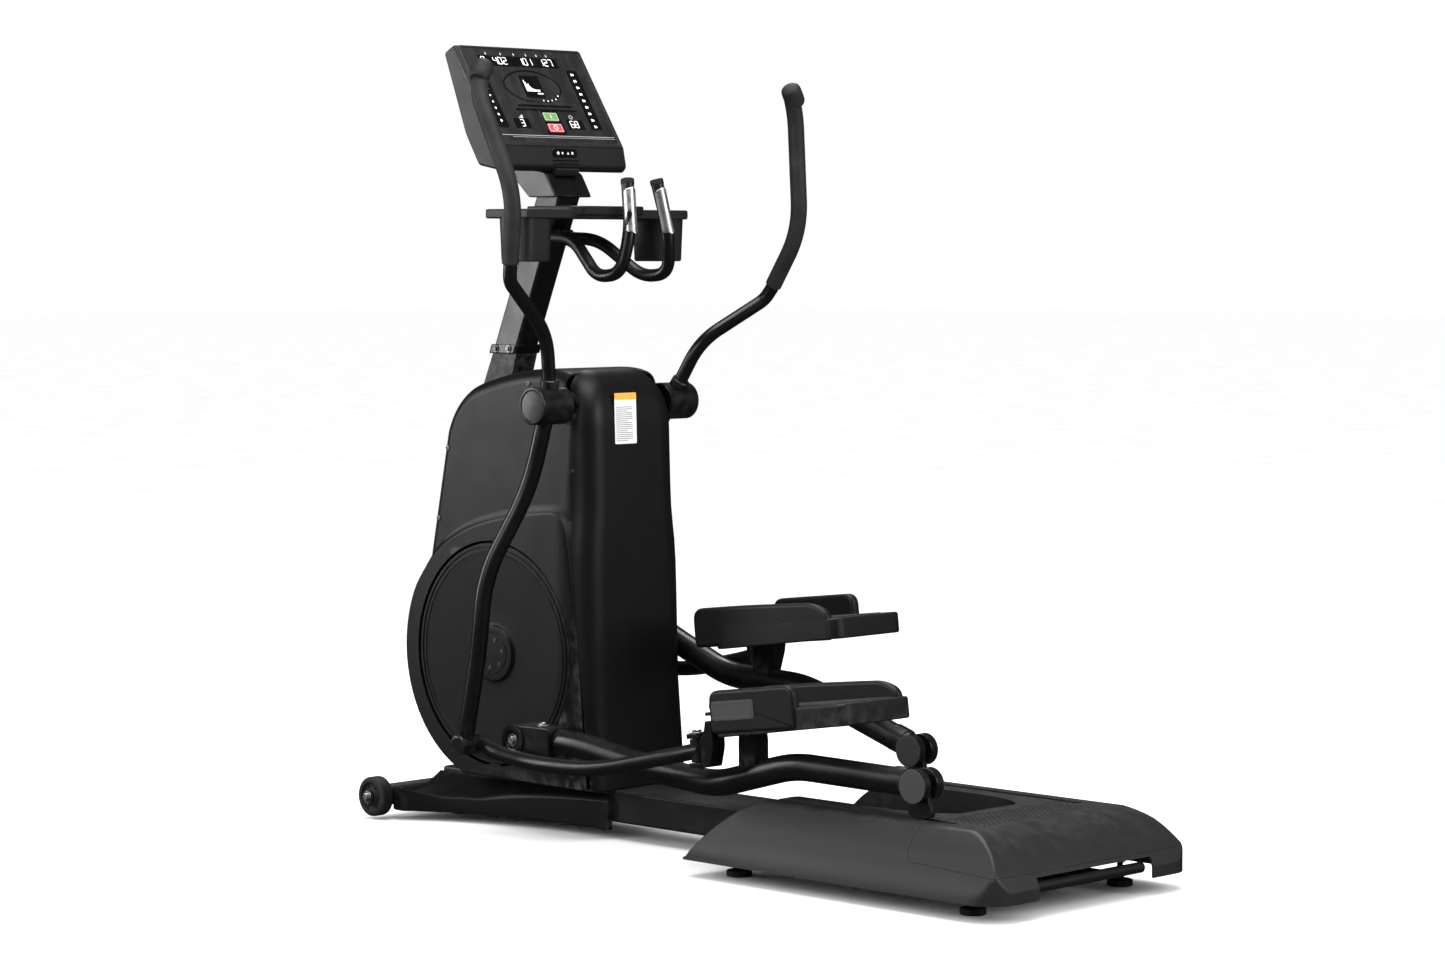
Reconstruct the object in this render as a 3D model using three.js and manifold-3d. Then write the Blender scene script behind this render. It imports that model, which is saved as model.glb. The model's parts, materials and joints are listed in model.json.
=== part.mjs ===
// Elliptical trainer with a front drive, two pedal rails and two swinging arms.
// Millimetres, +Z up, -X towards the console, -Y on the user's left. The origin is
// the middle of the footprint, at floor level.
import * as THREE from "three";
import { mergeVertices } from "three/addons/utils/BufferGeometryUtils.js";
import Module from "manifold-3d";

const wasm = await Module();
wasm.setup();

// ---- Driving dimensions ----
const GAP = 0.4; // clearance between touching pieces
const SIDES = [
  { name: "left", sign: -1, phase: 41 },
  { name: "right", sign: 1, phase: 221 },
];

const CRANK = { x: -674, z: 417, throw: 245, discRadius: 264, hubRadius: 65 };
const RAIL = { y: 205, radius: 30, length: 1232, rollerZ: 247, bossRadius: 36 };
const HINGE = { along: 740, above: 90 }; // pedal hinge, from the crank pin along the rail
const ARM = { x: -438, z: 1015, lever: 819, restAngle: 13.04, hubRadius: 44 };
const LINK_LENGTH = 856; // pedal hinge to the lower end of the swing arm

const BEAM = { x0: -940, x1: 930, halfWidth: 86, z0: 40, z1: 115, wall: 5 };
const CROSSBAR = { front: 221, rear: 896, z0: 60, z1: 100, halfLength: 290, halfDepth: 25 };
const STABILISER = { x: -981, z: 55, halfLength: 246, radius: 26 };
const WHEEL = { radius: 48, width: 36, innerY: 250, bore: 9 };
const FOOT = { radius: 28, height: 15, stem: 7, y: 245, frontX: -905, frontY: 56 };
const HOUSING = { halfWidth: 150, lobeHalfWidth: 163, lobeRadius: 320, wall: 5 };
const DRIVE = { pulleyRadius: 190, flyX: -650, flyZ: 800, flyRadius: 115, sheave: 30 };
const POST = { x0: -850, x1: -790 };
const COLUMN = { x0: -439, x1: -385 };
const MAST = { x: -770, z: 1134, lean: 0.42, halfDepth: 42, halfWidth: 35 };
const COVER = { noseX: 138, endX: 1030, halfWidth: 338, topHalf: 252, z0: 38, topZ: 176, wall: 4 };
const GROOVE = { y: 205, halfWidth: 10, x0: 262, x1: 820 };
const TREAD = { x0: 768, x1: 890, halfWidth: 188, depth: 3, proud: 1 };
const TRACK = { x0: 236, x1: 925, y0: -244, y1: -188, floorZ: 106, topZ: 118 };
const ROLLER = { radius: 18, bore: 8.7 };
const PANEL = { topX: -754, topZ: 1861, lowX: -597, lowZ: 1621, halfWidth: 202 };

const deg = THREE.MathUtils.degToRad;

// ---- Solids ----
function solidOf(geometry) {
  const bare = geometry.index ? geometry.toNonIndexed() : geometry.clone();
  for (const key of Object.keys(bare.attributes)) {
    if (key !== "position") bare.deleteAttribute(key);
  }
  const merged = mergeVertices(bare, 1e-3);
  const make = (triVerts) =>
    new wasm.Manifold(
      new wasm.Mesh({ numProp: 3, vertProperties: merged.attributes.position.array, triVerts }),
    );
  const triVerts = new Uint32Array(merged.index.array);
  const made = make(triVerts);
  if (made.volume() > 0) return made;
  const flipped = triVerts.slice();
  for (let i = 0; i < flipped.length; i += 3) {
    [flipped[i + 1], flipped[i + 2]] = [flipped[i + 2], flipped[i + 1]];
  }
  return make(flipped);
}

const join = (...solids) => solids.reduce((all, next) => all.add(next));
const cut = (solid, ...tools) => tools.reduce((left, tool) => left.subtract(tool), solid);

function box(x0, x1, y0, y1, z0, z1) {
  const geometry = new THREE.BoxGeometry(x1 - x0, y1 - y0, z1 - z0);
  geometry.translate((x0 + x1) / 2, (y0 + y1) / 2, (z0 + z1) / 2);
  return solidOf(geometry);
}

function barY(radius, x, y0, y1, z, sides = 16) {
  const geometry = new THREE.CylinderGeometry(radius, radius, Math.abs(y1 - y0), sides);
  geometry.translate(x, (y0 + y1) / 2, z);
  return solidOf(geometry);
}

function barZ(radius, x, y, z0, z1, sides = 16) {
  const geometry = new THREE.CylinderGeometry(radius, radius, z1 - z0, sides);
  geometry.rotateX(Math.PI / 2);
  geometry.translate(x, y, (z0 + z1) / 2);
  return solidOf(geometry);
}

function roundSection(radius, sides) {
  const points = [];
  for (let i = 0; i < sides; i++) {
    const turn = (2 * Math.PI * (i + 0.5)) / sides;
    points.push(new THREE.Vector2(radius * Math.cos(turn), radius * Math.sin(turn)));
  }
  return new THREE.Shape(points);
}

// A bent tube: straight runs between the points, with each corner rounded by a curve.
function tube(points, radius, bend = 60, sides = 10, steps = 2) {
  const corners = points.map((p) => new THREE.Vector3(...p));
  const path = [corners[0]];
  for (let i = 1; i < corners.length - 1; i++) {
    const before = corners[i - 1].clone().sub(corners[i]);
    const after = corners[i + 1].clone().sub(corners[i]);
    const reach = Math.min(bend, before.length() * 0.45, after.length() * 0.45);
    const start = corners[i].clone().addScaledVector(before.normalize(), reach);
    const end = corners[i].clone().addScaledVector(after.normalize(), reach);
    const arc = new THREE.QuadraticBezierCurve3(start, corners[i], end);
    path.push(...arc.getPoints(steps));
  }
  path.push(corners[corners.length - 1]);
  return sweep(path, radius, sides);
}

// A round section carried along the path's own points, closed at both ends.
function sweep(path, radius, sides) {
  const section = roundSection(radius, sides).getPoints();
  const rings = path.map((point, i) => {
    const ahead = path[Math.min(i + 1, path.length - 1)];
    const behind = path[Math.max(i - 1, 0)];
    const along = ahead.clone().sub(behind).normalize();
    const across = new THREE.Vector3(0, 1, 0).addScaledVector(along, -along.y).normalize();
    const up = along.clone().cross(across);
    return section.map((q) =>
      point.clone().addScaledVector(across, q.x).addScaledVector(up, q.y),
    );
  });
  const position = rings.flat().flatMap((p) => [p.x, p.y, p.z]);
  const index = [];
  for (let r = 0; r + 1 < rings.length; r++) {
    for (let i = 0; i < sides; i++) {
      const j = (i + 1) % sides;
      const [a, b, c, d] = [r * sides + i, r * sides + j, (r + 1) * sides + i, (r + 1) * sides + j];
      index.push(a, b, c, b, d, c);
    }
  }
  const last = (rings.length - 1) * sides;
  for (let i = 1; i + 1 < sides; i++) {
    index.push(0, i + 1, i);
    index.push(last, last + i, last + i + 1);
  }
  const geometry = new THREE.BufferGeometry();
  geometry.setAttribute("position", new THREE.Float32BufferAttribute(position, 3));
  geometry.setIndex(index);
  return solidOf(geometry);
}

// A side outline (x, z) given a thickness along Y. The bevel rounds both of its rims
// inside the stated size, and inset makes it smaller all round.
function slabY(shape, y0, y1, bevel = 0, inset = 0, curveSegments = 8) {
  const depth = y1 - y0 - 2 * (bevel + inset);
  const geometry = new THREE.ExtrudeGeometry(shape, {
    depth,
    curveSegments,
    bevelEnabled: bevel + inset > 0,
    bevelThickness: bevel,
    bevelSize: bevel,
    bevelOffset: -bevel - inset,
    bevelSegments: bevel > 8 ? 2 : 1,
  });
  geometry.translate(0, 0, -depth / 2);
  geometry.rotateX(Math.PI / 2);
  geometry.translate(0, (y0 + y1) / 2, 0);
  return solidOf(geometry);
}

function slabZ(shape, z0, z1, curveSegments = 8) {
  const geometry = new THREE.ExtrudeGeometry(shape, {
    depth: z1 - z0,
    curveSegments,
    bevelEnabled: false,
  });
  geometry.translate(0, 0, z0);
  return solidOf(geometry);
}

function outline(points) {
  return new THREE.Shape(points.map(([a, b]) => new THREE.Vector2(a, b)));
}

// A rectangle with round corners, as a shape.
function roundRect(x0, x1, y0, y1, r) {
  const shape = new THREE.Shape();
  shape.moveTo(x0 + r, y0);
  shape.lineTo(x1 - r, y0);
  shape.absarc(x1 - r, y0 + r, r, -Math.PI / 2, 0);
  shape.lineTo(x1, y1 - r);
  shape.absarc(x1 - r, y1 - r, r, 0, Math.PI / 2);
  shape.lineTo(x0 + r, y1);
  shape.absarc(x0 + r, y1 - r, r, Math.PI / 2, Math.PI);
  shape.lineTo(x0, y0 + r);
  shape.absarc(x0 + r, y0 + r, r, Math.PI, 1.5 * Math.PI);
  return shape;
}

// ---- Finishes ----
const finish = (color, roughness, metalness) =>
  new THREE.MeshStandardMaterial({ color, roughness, metalness });
const shellBlack = finish(0x111112, 0.42, 0);
const coverGrey = finish(0x2a2a2b, 0.5, 0);
const coatBlack = finish(0x141415, 0.38, 0.2);
const rubberBlack = finish(0x1b1b1c, 0.8, 0);
const softGrip = finish(0x222223, 0.7, 0);
const darkSteel = finish(0x3a3b3d, 0.4, 0.9);
const consoleGrey = finish(0x202123, 0.5, 0);
const glossBlack = finish(0x0b0b0c, 0.18, 0);
const keyGreen = finish(0x6a8a35, 0.5, 0);
const keyRed = finish(0xb23238, 0.5, 0);
const plateGrey = finish(0xb4b4b4, 0.35, 0.3);

const trainer = new THREE.Group();

function place(name, solid, material, parent = trainer) {
  const mesh = solid.getMesh();
  const geometry = new THREE.BufferGeometry();
  const count = mesh.numVert;
  const position = new Float32Array(count * 3);
  for (let i = 0; i < count; i++) {
    position.set(mesh.vertProperties.subarray(i * mesh.numProp, i * mesh.numProp + 3), i * 3);
  }
  geometry.setAttribute("position", new THREE.BufferAttribute(position, 3));
  geometry.setIndex(new THREE.BufferAttribute(mesh.triVerts, 1));
  const piece = new THREE.Mesh(geometry, material);
  piece.name = name;
  parent.add(piece);
  return piece;
}

// The same solid on the other side of the middle plane when sign is +1. Everything
// that comes in pairs is drawn on the left, at negative y.
const onSide = (solid, sign) => (sign < 0 ? solid : solid.mirror([0, 1, 0]));

// ---- Linkage: where each side stands for its crank angle ----
function linkage(phase) {
  const turn = deg(phase);
  const pin = new THREE.Vector2(
    CRANK.x + CRANK.throw * Math.sin(turn),
    CRANK.z - CRANK.throw * Math.cos(turn),
  );
  const rise = RAIL.rollerZ - pin.y;
  const railAngle = Math.asin(rise / RAIL.length);
  const hinge = new THREE.Vector2(HINGE.along, HINGE.above)
    .rotateAround(new THREE.Vector2(), railAngle)
    .add(pin);
  const pivot = new THREE.Vector2(ARM.x, ARM.z);
  const toPivot = pivot.clone().sub(hinge);
  const span = toPivot.length();
  const along = (LINK_LENGTH ** 2 - ARM.lever ** 2 + span ** 2) / (2 * span);
  const off = Math.sqrt(LINK_LENGTH ** 2 - along ** 2);
  const unit = toPivot.divideScalar(span);
  const foot = hinge.clone().addScaledVector(unit, along);
  foot.add(new THREE.Vector2(-unit.y, unit.x).multiplyScalar(off));
  return {
    pin,
    railAngle,
    hinge,
    linkAngle: Math.atan2(hinge.y - foot.y, hinge.x - foot.x),
    armAngle: Math.atan2(pivot.x - foot.x, pivot.y - foot.y),
    rollerX: pin.x + RAIL.length * Math.cos(railAngle),
  };
}

// A group whose own +X leans up by angle, at (x, 0, z).
function turnedGroup(x, z, angle) {
  const group = new THREE.Group();
  group.position.set(x, 0, z);
  group.rotation.y = -angle;
  trainer.add(group);
  return group;
}

// ---- Base frame ----
function addBeam() {
  const { x0, x1, halfWidth: w, z0, z1, wall } = BEAM;
  const outer = box(x0, x1, -w, w, z0, z1);
  const bore = box(x0 - 1, x1 + 1, -w + wall, w - wall, z0 + wall, z1 - wall);
  const notches = [CROSSBAR.front, CROSSBAR.rear].map((x) =>
    box(
      x - CROSSBAR.halfDepth - GAP,
      x + CROSSBAR.halfDepth + GAP,
      -w - 1,
      w + 1,
      CROSSBAR.z0 - GAP,
      CROSSBAR.z1 + GAP,
    ),
  );
  const footHoles = [-FOOT.frontY, FOOT.frontY].map((y) =>
    barZ(FOOT.stem + 1, FOOT.frontX, y, z0 - 1, z0 + wall + 1),
  );
  place("main_beam", cut(outer, bore, ...notches, ...footHoles), coatBlack);
}

function addCrossbars() {
  for (const [name, x] of [
    ["crossbar_front", CROSSBAR.front],
    ["crossbar_rear", CROSSBAR.rear],
  ]) {
    const { halfDepth: d, halfLength: l, z0, z1 } = CROSSBAR;
    const holes = [-FOOT.y, FOOT.y].map((y) => barZ(FOOT.stem + 1, x, y, z0 - 1, z1 + 1));
    place(name, cut(box(x - d, x + d, -l, l, z0, z1), ...holes), coatBlack);
  }
}

function addStabiliser() {
  const { x, z, halfLength, radius } = STABILISER;
  const bar = barY(radius, x, -halfLength, halfLength, z);
  const plate = box(x + radius - 4, BEAM.x0 - GAP, -60, 60, z - 14, z + 40);
  const spigots = [-1, 1].map((s) =>
    join(
      barY(WHEEL.bore - 0.8, x, s * (halfLength - 2), s * (WHEEL.innerY + WHEEL.width + 2), z, 12),
      barY(15, x, s * (WHEEL.innerY + WHEEL.width + 1), s * (WHEEL.innerY + WHEEL.width + 9), z, 12),
    ),
  );
  place("front_stabilizer", join(bar, plate, ...spigots), coatBlack);
}

function addWheels() {
  for (const { name, sign } of SIDES) {
    const y0 = -WHEEL.innerY;
    const y1 = -WHEEL.innerY - WHEEL.width;
    const disc = barY(WHEEL.radius, STABILISER.x, y1, y0, STABILISER.z, 18);
    const recess = barY(34, STABILISER.x, y1 - 1, y1 + 6, STABILISER.z, 14);
    const hub = barY(18, STABILISER.x, y1, y1 + 8, STABILISER.z, 12);
    const bore = barY(WHEEL.bore, STABILISER.x, y1 - 1, y0 + 1, STABILISER.z, 12);
    const wheel = cut(join(cut(disc, recess), hub), bore);
    place("transport_wheel_" + name, onSide(wheel, sign), rubberBlack);
  }
}

function addFeet() {
  const spots = [
    ["foot_front_left", FOOT.frontX, -FOOT.frontY, BEAM.z0 + BEAM.wall + 20],
    ["foot_front_right", FOOT.frontX, FOOT.frontY, BEAM.z0 + BEAM.wall + 20],
    ["foot_middle_left", CROSSBAR.front, -FOOT.y, CROSSBAR.z1 + 8],
    ["foot_middle_right", CROSSBAR.front, FOOT.y, CROSSBAR.z1 + 8],
    ["foot_rear_left", CROSSBAR.rear, -FOOT.y, CROSSBAR.z1 + 8],
    ["foot_rear_right", CROSSBAR.rear, FOOT.y, CROSSBAR.z1 + 8],
  ];
  for (const [name, x, y, top] of spots) {
    const under = name.startsWith("foot_front") ? BEAM.z0 : CROSSBAR.z0;
    const disc = barZ(FOOT.radius, x, y, 0, FOOT.height, 16);
    const stem = barZ(FOOT.stem, x, y, FOOT.height - 1, top, 8);
    const nut = barZ(12, x, y, under - 9, under - GAP, 6);
    place(name, join(disc, stem, nut), rubberBlack);
  }
}

// Half of the low moulding that runs from a transport wheel back to the beam.
function frontCoverOutline(grow) {
  const shape = new THREE.Shape();
  const edge = BEAM.halfWidth + GAP;
  shape.moveTo(-950 + grow, -edge);
  shape.lineTo(-345 + grow, -edge);
  shape.lineTo(-345 + grow, -edge - 16 - grow);
  shape.bezierCurveTo(-560, -112 - grow, -770, -132 - grow, -912, -246 - grow);
  shape.lineTo(-950 + grow, -246 - grow);
  return shape;
}

// The front cover's height across its width: a skirt, and a roof that falls to its lip.
function frontCoverRoof(drop) {
  const geometry = new THREE.ExtrudeGeometry(
    outline([
      [-80, 10],
      [-80, 108 - drop],
      [-150, 64 - drop],
      [-190, 62 - drop],
      [-250, 84 - drop],
      [-260, 10],
    ]),
    { depth: 700, bevelEnabled: false },
  );
  geometry.rotateX(Math.PI / 2);
  geometry.rotateZ(Math.PI / 2);
  geometry.translate(-1000, 0, 0);
  return solidOf(geometry);
}

function addFrontCovers() {
  for (const { name, sign } of SIDES) {
    const outer = slabZ(frontCoverOutline(0), 22, 108, 8).intersect(frontCoverRoof(0));
    const hollow = slabZ(frontCoverOutline(-5), 21, 104, 8).intersect(frontCoverRoof(5));
    const half = cut(outer, hollow);
    place("front_cover_" + name, onSide(half, sign), shellBlack);
  }
}

// ---- Frame inside the housing ----
function addInnerFrame() {
  const w = 34;
  const post = join(
    slabY(
      outline([
        [POST.x0, BEAM.z1 + GAP],
        [POST.x1, BEAM.z1 + GAP],
        [POST.x1, 930],
        [MAST.x + MAST.halfDepth, MAST.z - 8],
        [MAST.x - MAST.halfDepth, MAST.z - 8],
        [mastX(1010) - MAST.halfDepth, 1010],
        [POST.x0, 930],
      ]),
      -w,
      w,
    ),
    box(POST.x1 - 1, COLUMN.x0 - GAP, -w, w, CRANK.z - 32, CRANK.z + 32),
    barY(46, CRANK.x, -120, 120, CRANK.z, 18),
    box(POST.x1 - 1, DRIVE.flyX + 26, 24, w, DRIVE.flyZ - 28, DRIVE.flyZ + 28),
    barY(9.5, DRIVE.flyX, -140, 26, DRIVE.flyZ, 16),
  );
  const shaftHole = barY(20, CRANK.x, -130, 130, CRANK.z, 18);
  place("crank_carrier_and_post", cut(post, shaftHole), coatBlack);

  const column = join(
    box(COLUMN.x0, COLUMN.x1, -w, w, BEAM.z1 + GAP, 985),
    barY(34, ARM.x, -130, 130, ARM.z, 16),
    box(-460, -400, -w, w, 960, 1005),
  );
  const pivotHole = barY(15, ARM.x, -140, 140, ARM.z, 16);
  place("rear_column", cut(column, pivotHole), coatBlack);
  place("arm_pivot_shaft", barY(14, ARM.x, -246, 246, ARM.z, 16), darkSteel);
}

// ---- Drive ----
function addDrive() {
  const shaft = barY(18.5, CRANK.x, -146, 146, CRANK.z, 18);
  const sheaveY = [-142, -126];
  const pulley = barY(DRIVE.pulleyRadius, CRANK.x, sheaveY[0], sheaveY[1], CRANK.z, 28);
  const web = [0, 1, 2, 3].map((i) => {
    const turn = (i * Math.PI) / 2;
    const r = 108;
    return barY(44, CRANK.x + r * Math.cos(turn), -144, -124, CRANK.z + r * Math.sin(turn), 10);
  });
  place("drive_pulley_and_axle", join(shaft, cut(pulley, ...web)), darkSteel);

  const { flyX: fx, flyZ: fz, flyRadius: fr, sheave } = DRIVE;
  const wheel = join(
    barY(fr, fx, -40, 22, fz, 26),
    barY(sheave, fx, sheaveY[0], -39, fz, 20),
  );
  place("flywheel", cut(wheel, barY(10.5, fx, -150, 30, fz, 16)), darkSteel);
  // The belt runs round both sheaves: two arcs and their common tangents.
  const between = Math.hypot(fx - CRANK.x, fz - CRANK.z);
  const lean = Math.atan2(fz - CRANK.z, fx - CRANK.x);
  const beltOutline = (extra) => {
    const big = DRIVE.pulleyRadius + extra;
    const small = sheave + extra;
    const wrap = Math.acos((big - small) / between);
    const shape = new THREE.Shape();
    shape.absarc(CRANK.x, CRANK.z, big, lean + wrap, lean + 2 * Math.PI - wrap, false);
    shape.absarc(fx, fz, small, lean - wrap, lean + wrap, false);
    shape.closePath();
    return shape;
  };
  const belt = cut(
    slabY(beltOutline(3.4), sheaveY[0] + 2, sheaveY[1] - 2, 0, 0, 9),
    slabY(beltOutline(3 * GAP), sheaveY[0] + 1, sheaveY[1] - 1, 0, 0, 9),
  );
  place("drive_belt", belt, rubberBlack);
}

function addCrankDiscs() {
  for (const { name, sign, phase } of SIDES) {
    const turn = deg(phase);
    const px = CRANK.x + CRANK.throw * Math.sin(turn);
    const pz = CRANK.z - CRANK.throw * Math.cos(turn);
    const disc = join(
      barY(CRANK.discRadius, CRANK.x, -160, -148, CRANK.z, 32),
      barY(CRANK.hubRadius, CRANK.x, -164, -159, CRANK.z, 18),
      barY(18, px, -172, -159, pz, 14),
    );
    place("crank_disc_" + name, onSide(disc, sign), shellBlack);
  }
}

// ---- Housing ----
function upperOutline() {
  const shape = new THREE.Shape();
  shape.moveTo(-900, 500);
  shape.lineTo(-345, 500);
  shape.lineTo(-368, 990);
  shape.bezierCurveTo(-370, 1052, -410, 1096, -500, 1097);
  shape.bezierCurveTo(-590, 1098, -670, 1080, -752, 1056);
  shape.bezierCurveTo(-800, 1040, -842, 1000, -863, 943);
  shape.lineTo(-935, 600);
  return shape;
}

function lobeOutline() {
  const r = HOUSING.lobeRadius;
  const floor = BEAM.z1 + 3;
  const start = Math.asin((floor - CRANK.z) / r);
  const brow = deg(138);
  const shape = new THREE.Shape();
  shape.moveTo(-338, floor);
  shape.lineTo(-345, 720);
  shape.bezierCurveTo(-347, 765, -362, 784, -400, 785);
  shape.bezierCurveTo(-530, 779, -660, 765, -750, 738);
  const browX = CRANK.x + r * Math.cos(brow);
  const browZ = CRANK.z + r * Math.sin(brow);
  shape.bezierCurveTo(-820, 712, -875, 680, browX, browZ);
  shape.absarc(CRANK.x, CRANK.z, r, brow, Math.PI - start, false);
  return shape;
}

function housingBlock(inset) {
  const upper = slabY(upperOutline(), -HOUSING.halfWidth, HOUSING.halfWidth, 34, inset, 3);
  const lobe = slabY(lobeOutline(), -HOUSING.lobeHalfWidth, HOUSING.lobeHalfWidth, 16, inset, 6);
  return join(upper, lobe);
}

// The plane that parts the rear shroud from the side shells leans forward as it rises.
function behindSeam(offset) {
  const geometry = new THREE.BoxGeometry(400, 500, 1600);
  geometry.translate(200 + offset, 0, 0);
  geometry.rotateY(-0.088);
  geometry.translate(-385, 0, 470);
  return solidOf(geometry);
}

function addHousing() {
  const shell = cut(housingBlock(0), housingBlock(HOUSING.wall));
  const slot = MAST.halfWidth + 4;
  const openings = [
    barY(CRANK.discRadius + 5, CRANK.x, -200, 200, CRANK.z, 28),
    barY(36, ARM.x, -200, 200, ARM.z, 16),
    box(-900, mastX(1100) + MAST.halfDepth + 4, -slot, slot, 935, 1110),
    box(POST.x0 - 6, POST.x1 + 6, -slot, slot, 100, 175),
    box(COLUMN.x0 - 6, COLUMN.x1 + 6, -slot, slot, 100, 130),
  ];
  const open = cut(shell, ...openings);
  const sides = cut(open, behindSeam(-GAP));
  for (const { name, sign } of SIDES) {
    const edge = sign * GAP;
    const half = sign < 0 ? box(-1100, 0, -300, edge, 0, 1300) : box(-1100, 0, edge, 300, 0, 1300);
    place("side_shell_" + name, sides.intersect(half), shellBlack);
  }
  place("rear_shroud", open.intersect(behindSeam(0)), shellBlack);
}

// ---- Mast ----
const mastX = (z) => MAST.x + MAST.lean * (z - MAST.z);

function leaningBar(z0, z1, halfDepth, halfWidth) {
  return slabY(
    outline([
      [mastX(z0) - halfDepth, z0],
      [mastX(z0) + halfDepth, z0],
      [mastX(z1) + halfDepth, z1],
      [mastX(z1) - halfDepth, z1],
    ]),
    -halfWidth,
    halfWidth,
  );
}

function addMast() {
  const seat = MAST.z - 8 + GAP;
  const collar = leaningBar(seat, seat + 22, MAST.halfDepth + 7, MAST.halfWidth + 7);
  const bolts = [-1, 1].flatMap((s) =>
    [-22, 22].map((dx) => barY(6, MAST.x + dx, s * 40, s * 47, MAST.z + 6, 10)),
  );
  const upper = join(
    collar,
    ...bolts,
    leaningBar(seat + 20, 1510, MAST.halfDepth, MAST.halfWidth),
    slabY(
      outline([
        [-655, 1500],
        [-562, 1500],
        [-598, 1559],
        [-677, 1573],
        [-724, 1647],
        [-756, 1636],
        [-700, 1540],
      ]),
      -60,
      60,
    ),
  );
  place("mast_upper", upper, coatBlack);
}

// ---- Console ----
function addConsole() {
  const { topX, topZ, lowX, lowZ, halfWidth } = PANEL;
  const profile = outline([
    [topX - 6, topZ],
    [topX - 43, topZ - 20],
    [-722, 1648],
    [-676, 1574],
    [-600, 1560],
    [lowX + 10, lowZ - 48],
    [lowX, lowZ],
  ]);
  const body = slabY(profile, -halfWidth, halfWidth, 6, 0);
  const slope = Math.atan2(topZ - lowZ, lowX - topX);
  const frame = new THREE.Matrix4().makeRotationY(slope);
  frame.setPosition(topX, 0, topZ);
  const onPanel = (solid) => solid.transform(frame.toArray());
  const pocket = onPanel(box(8, 278, -188, 188, -3, 20));
  const keyHoles = [190, 222].map((s) => onPanel(box(s, s + 26, -24, 24, -8, 5)));
  const wells = [190, 222].map((s) => onPanel(box(s - 1, s + 27, -25, 25, -12, 5)));
  const panel = onPanel(box(9, 277, -187, 187, -3 + GAP, 0.6));
  place("console_panel", cut(panel, ...keyHoles), glossBlack);
  place("console_housing", cut(body, pocket, ...wells), consoleGrey);
  place("start_key", onPanel(box(190 + 0.6, 216 - 0.6, -23.4, 23.4, -8, 3)), keyGreen);
  place("stop_key", onPanel(box(222 + 0.6, 248 - 0.6, -23.4, 23.4, -8, 3)), keyRed);
}

function addTray() {
  const bar = box(-585, -440, -262, 262, 1448, 1470);
  const cups = [-1, 1].flatMap((s) => {
    const y0 = Math.min(s * 169, s * 262);
    const y1 = Math.max(s * 169, s * 262);
    return [box(-549, -445, y0, y1, 1348, 1460)];
  });
  const hollows = [-1, 1].map((s) => {
    const y0 = Math.min(s * 174, s * 257);
    const y1 = Math.max(s * 174, s * 257);
    return box(-544, -450, y0, y1, 1354, 1480);
  });
  const mastHole = leaningBar(1440, 1480, MAST.halfDepth + GAP, MAST.halfWidth + GAP);
  const middle = box(-600, -430, -120, 120, 1456, 1478);
  place("console_tray", cut(join(bar, middle, ...cups), ...hollows, mastHole), consoleGrey);
}

function addHandlebar() {
  const bars = [];
  for (const { name, sign } of SIDES) {
    const points = [
      [mastX(1400) + MAST.halfDepth + 2, -24, 1404],
      [-520, -40, 1400],
      [-405, -74, 1312],
      [-322, -78, 1320],
      [-306, -62, 1420],
      [-332, -47, 1540],
    ];
    const bar = tube(points, 15, 55, 8);
    const mastFace = mastX(1400) + MAST.halfDepth;
    const flange = box(mastFace + 1, mastFace + 14, -38, 1, 1385, 1424);
    const clear = leaningBar(1340, 1460, MAST.halfDepth + GAP, MAST.halfWidth + 10);
    bars.push(onSide(cut(join(bar, flange), clear), sign));
    const sleeve = tube(
      [
        [-307, -61, 1410],
        [-327, -49.5, 1518],
      ],
      17,
      10,
      8,
    );
    const core = tube(points, 15 + 2 * GAP, 55, 8);
    const half = sleeve.subtract(core).intersect(box(-320, -280, -100, 0, 1380, 1530));
    place("pulse_plate_" + name, onSide(biggest(half), sign), plateGrey);
  }
  place("pulse_handlebar", join(...bars), coatBlack);
}

const biggest = (solid) =>
  solid.decompose().reduce((best, next) => (next.volume() > best.volume() ? next : best));

// ---- Rails, roller carriages, pedals, links ----
function addRailSide({ name, sign, phase }) {
  const state = linkage(phase);
  const rail = turnedGroup(state.pin.x, state.pin.y, state.railAngle);
  const y = -RAIL.y;

  const inner = -173;
  const outer = -250;
  const bearing = cut(barY(36, 0, outer, inner, 0, 18), barY(22, 0, outer - 1, outer + 4, 0, 12));
  const bolt = barY(9, 0, outer - 6, outer + 6, 0, 10);
  const fork = slabY(
    outline([
      [0, -35],
      [96, -34],
      [118, -30],
      [118, 36],
      [4, 36],
    ]),
    outer + 6,
    inner - 3,
  );
  const head = barZ(8, 60, y, 35, 43, 12);
  const bracket = join(bearing, bolt, fork, head);
  place("crank_bracket_" + name, onSide(bracket, sign), coatBlack, rail);

  const main = tube(
    [
      [121, y, 2],
      [200, y, -2],
      [430, y, -36],
      [628, y, -52],
      [865, y, 10],
      [1206, y, 2],
    ],
    RAIL.radius,
    80,
    12,
  );
  const boss = barY(RAIL.bossRadius, RAIL.length, y - 32, y + 32, 0, 16);
  const slot = box(RAIL.length - 44, RAIL.length + 45, y - 9, y + 9, -40, 30);
  const post = box(HINGE.along - 26, HINGE.along + 26, y - 22, y + 22, -10, HINGE.above - 8);
  const hub = barY(22, HINGE.along, y - 24, y + 24, HINGE.above, 14);
  const hingeHole = barY(10, HINGE.along, y - 40, y + 40, HINGE.above, 12);
  const axle = barY(10, RAIL.length, y - 20, y + 20, 0, 12);
  const hingePost = cut(join(post, hub), hingeHole);
  const railBody = join(cut(join(main, boss), slot), axle, hingePost);
  place("pedal_rail_" + name, onSide(railBody, sign), coatBlack, rail);

  addCarriage(name, sign, state);
  addPedalSide(name, sign, state);
}

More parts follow.
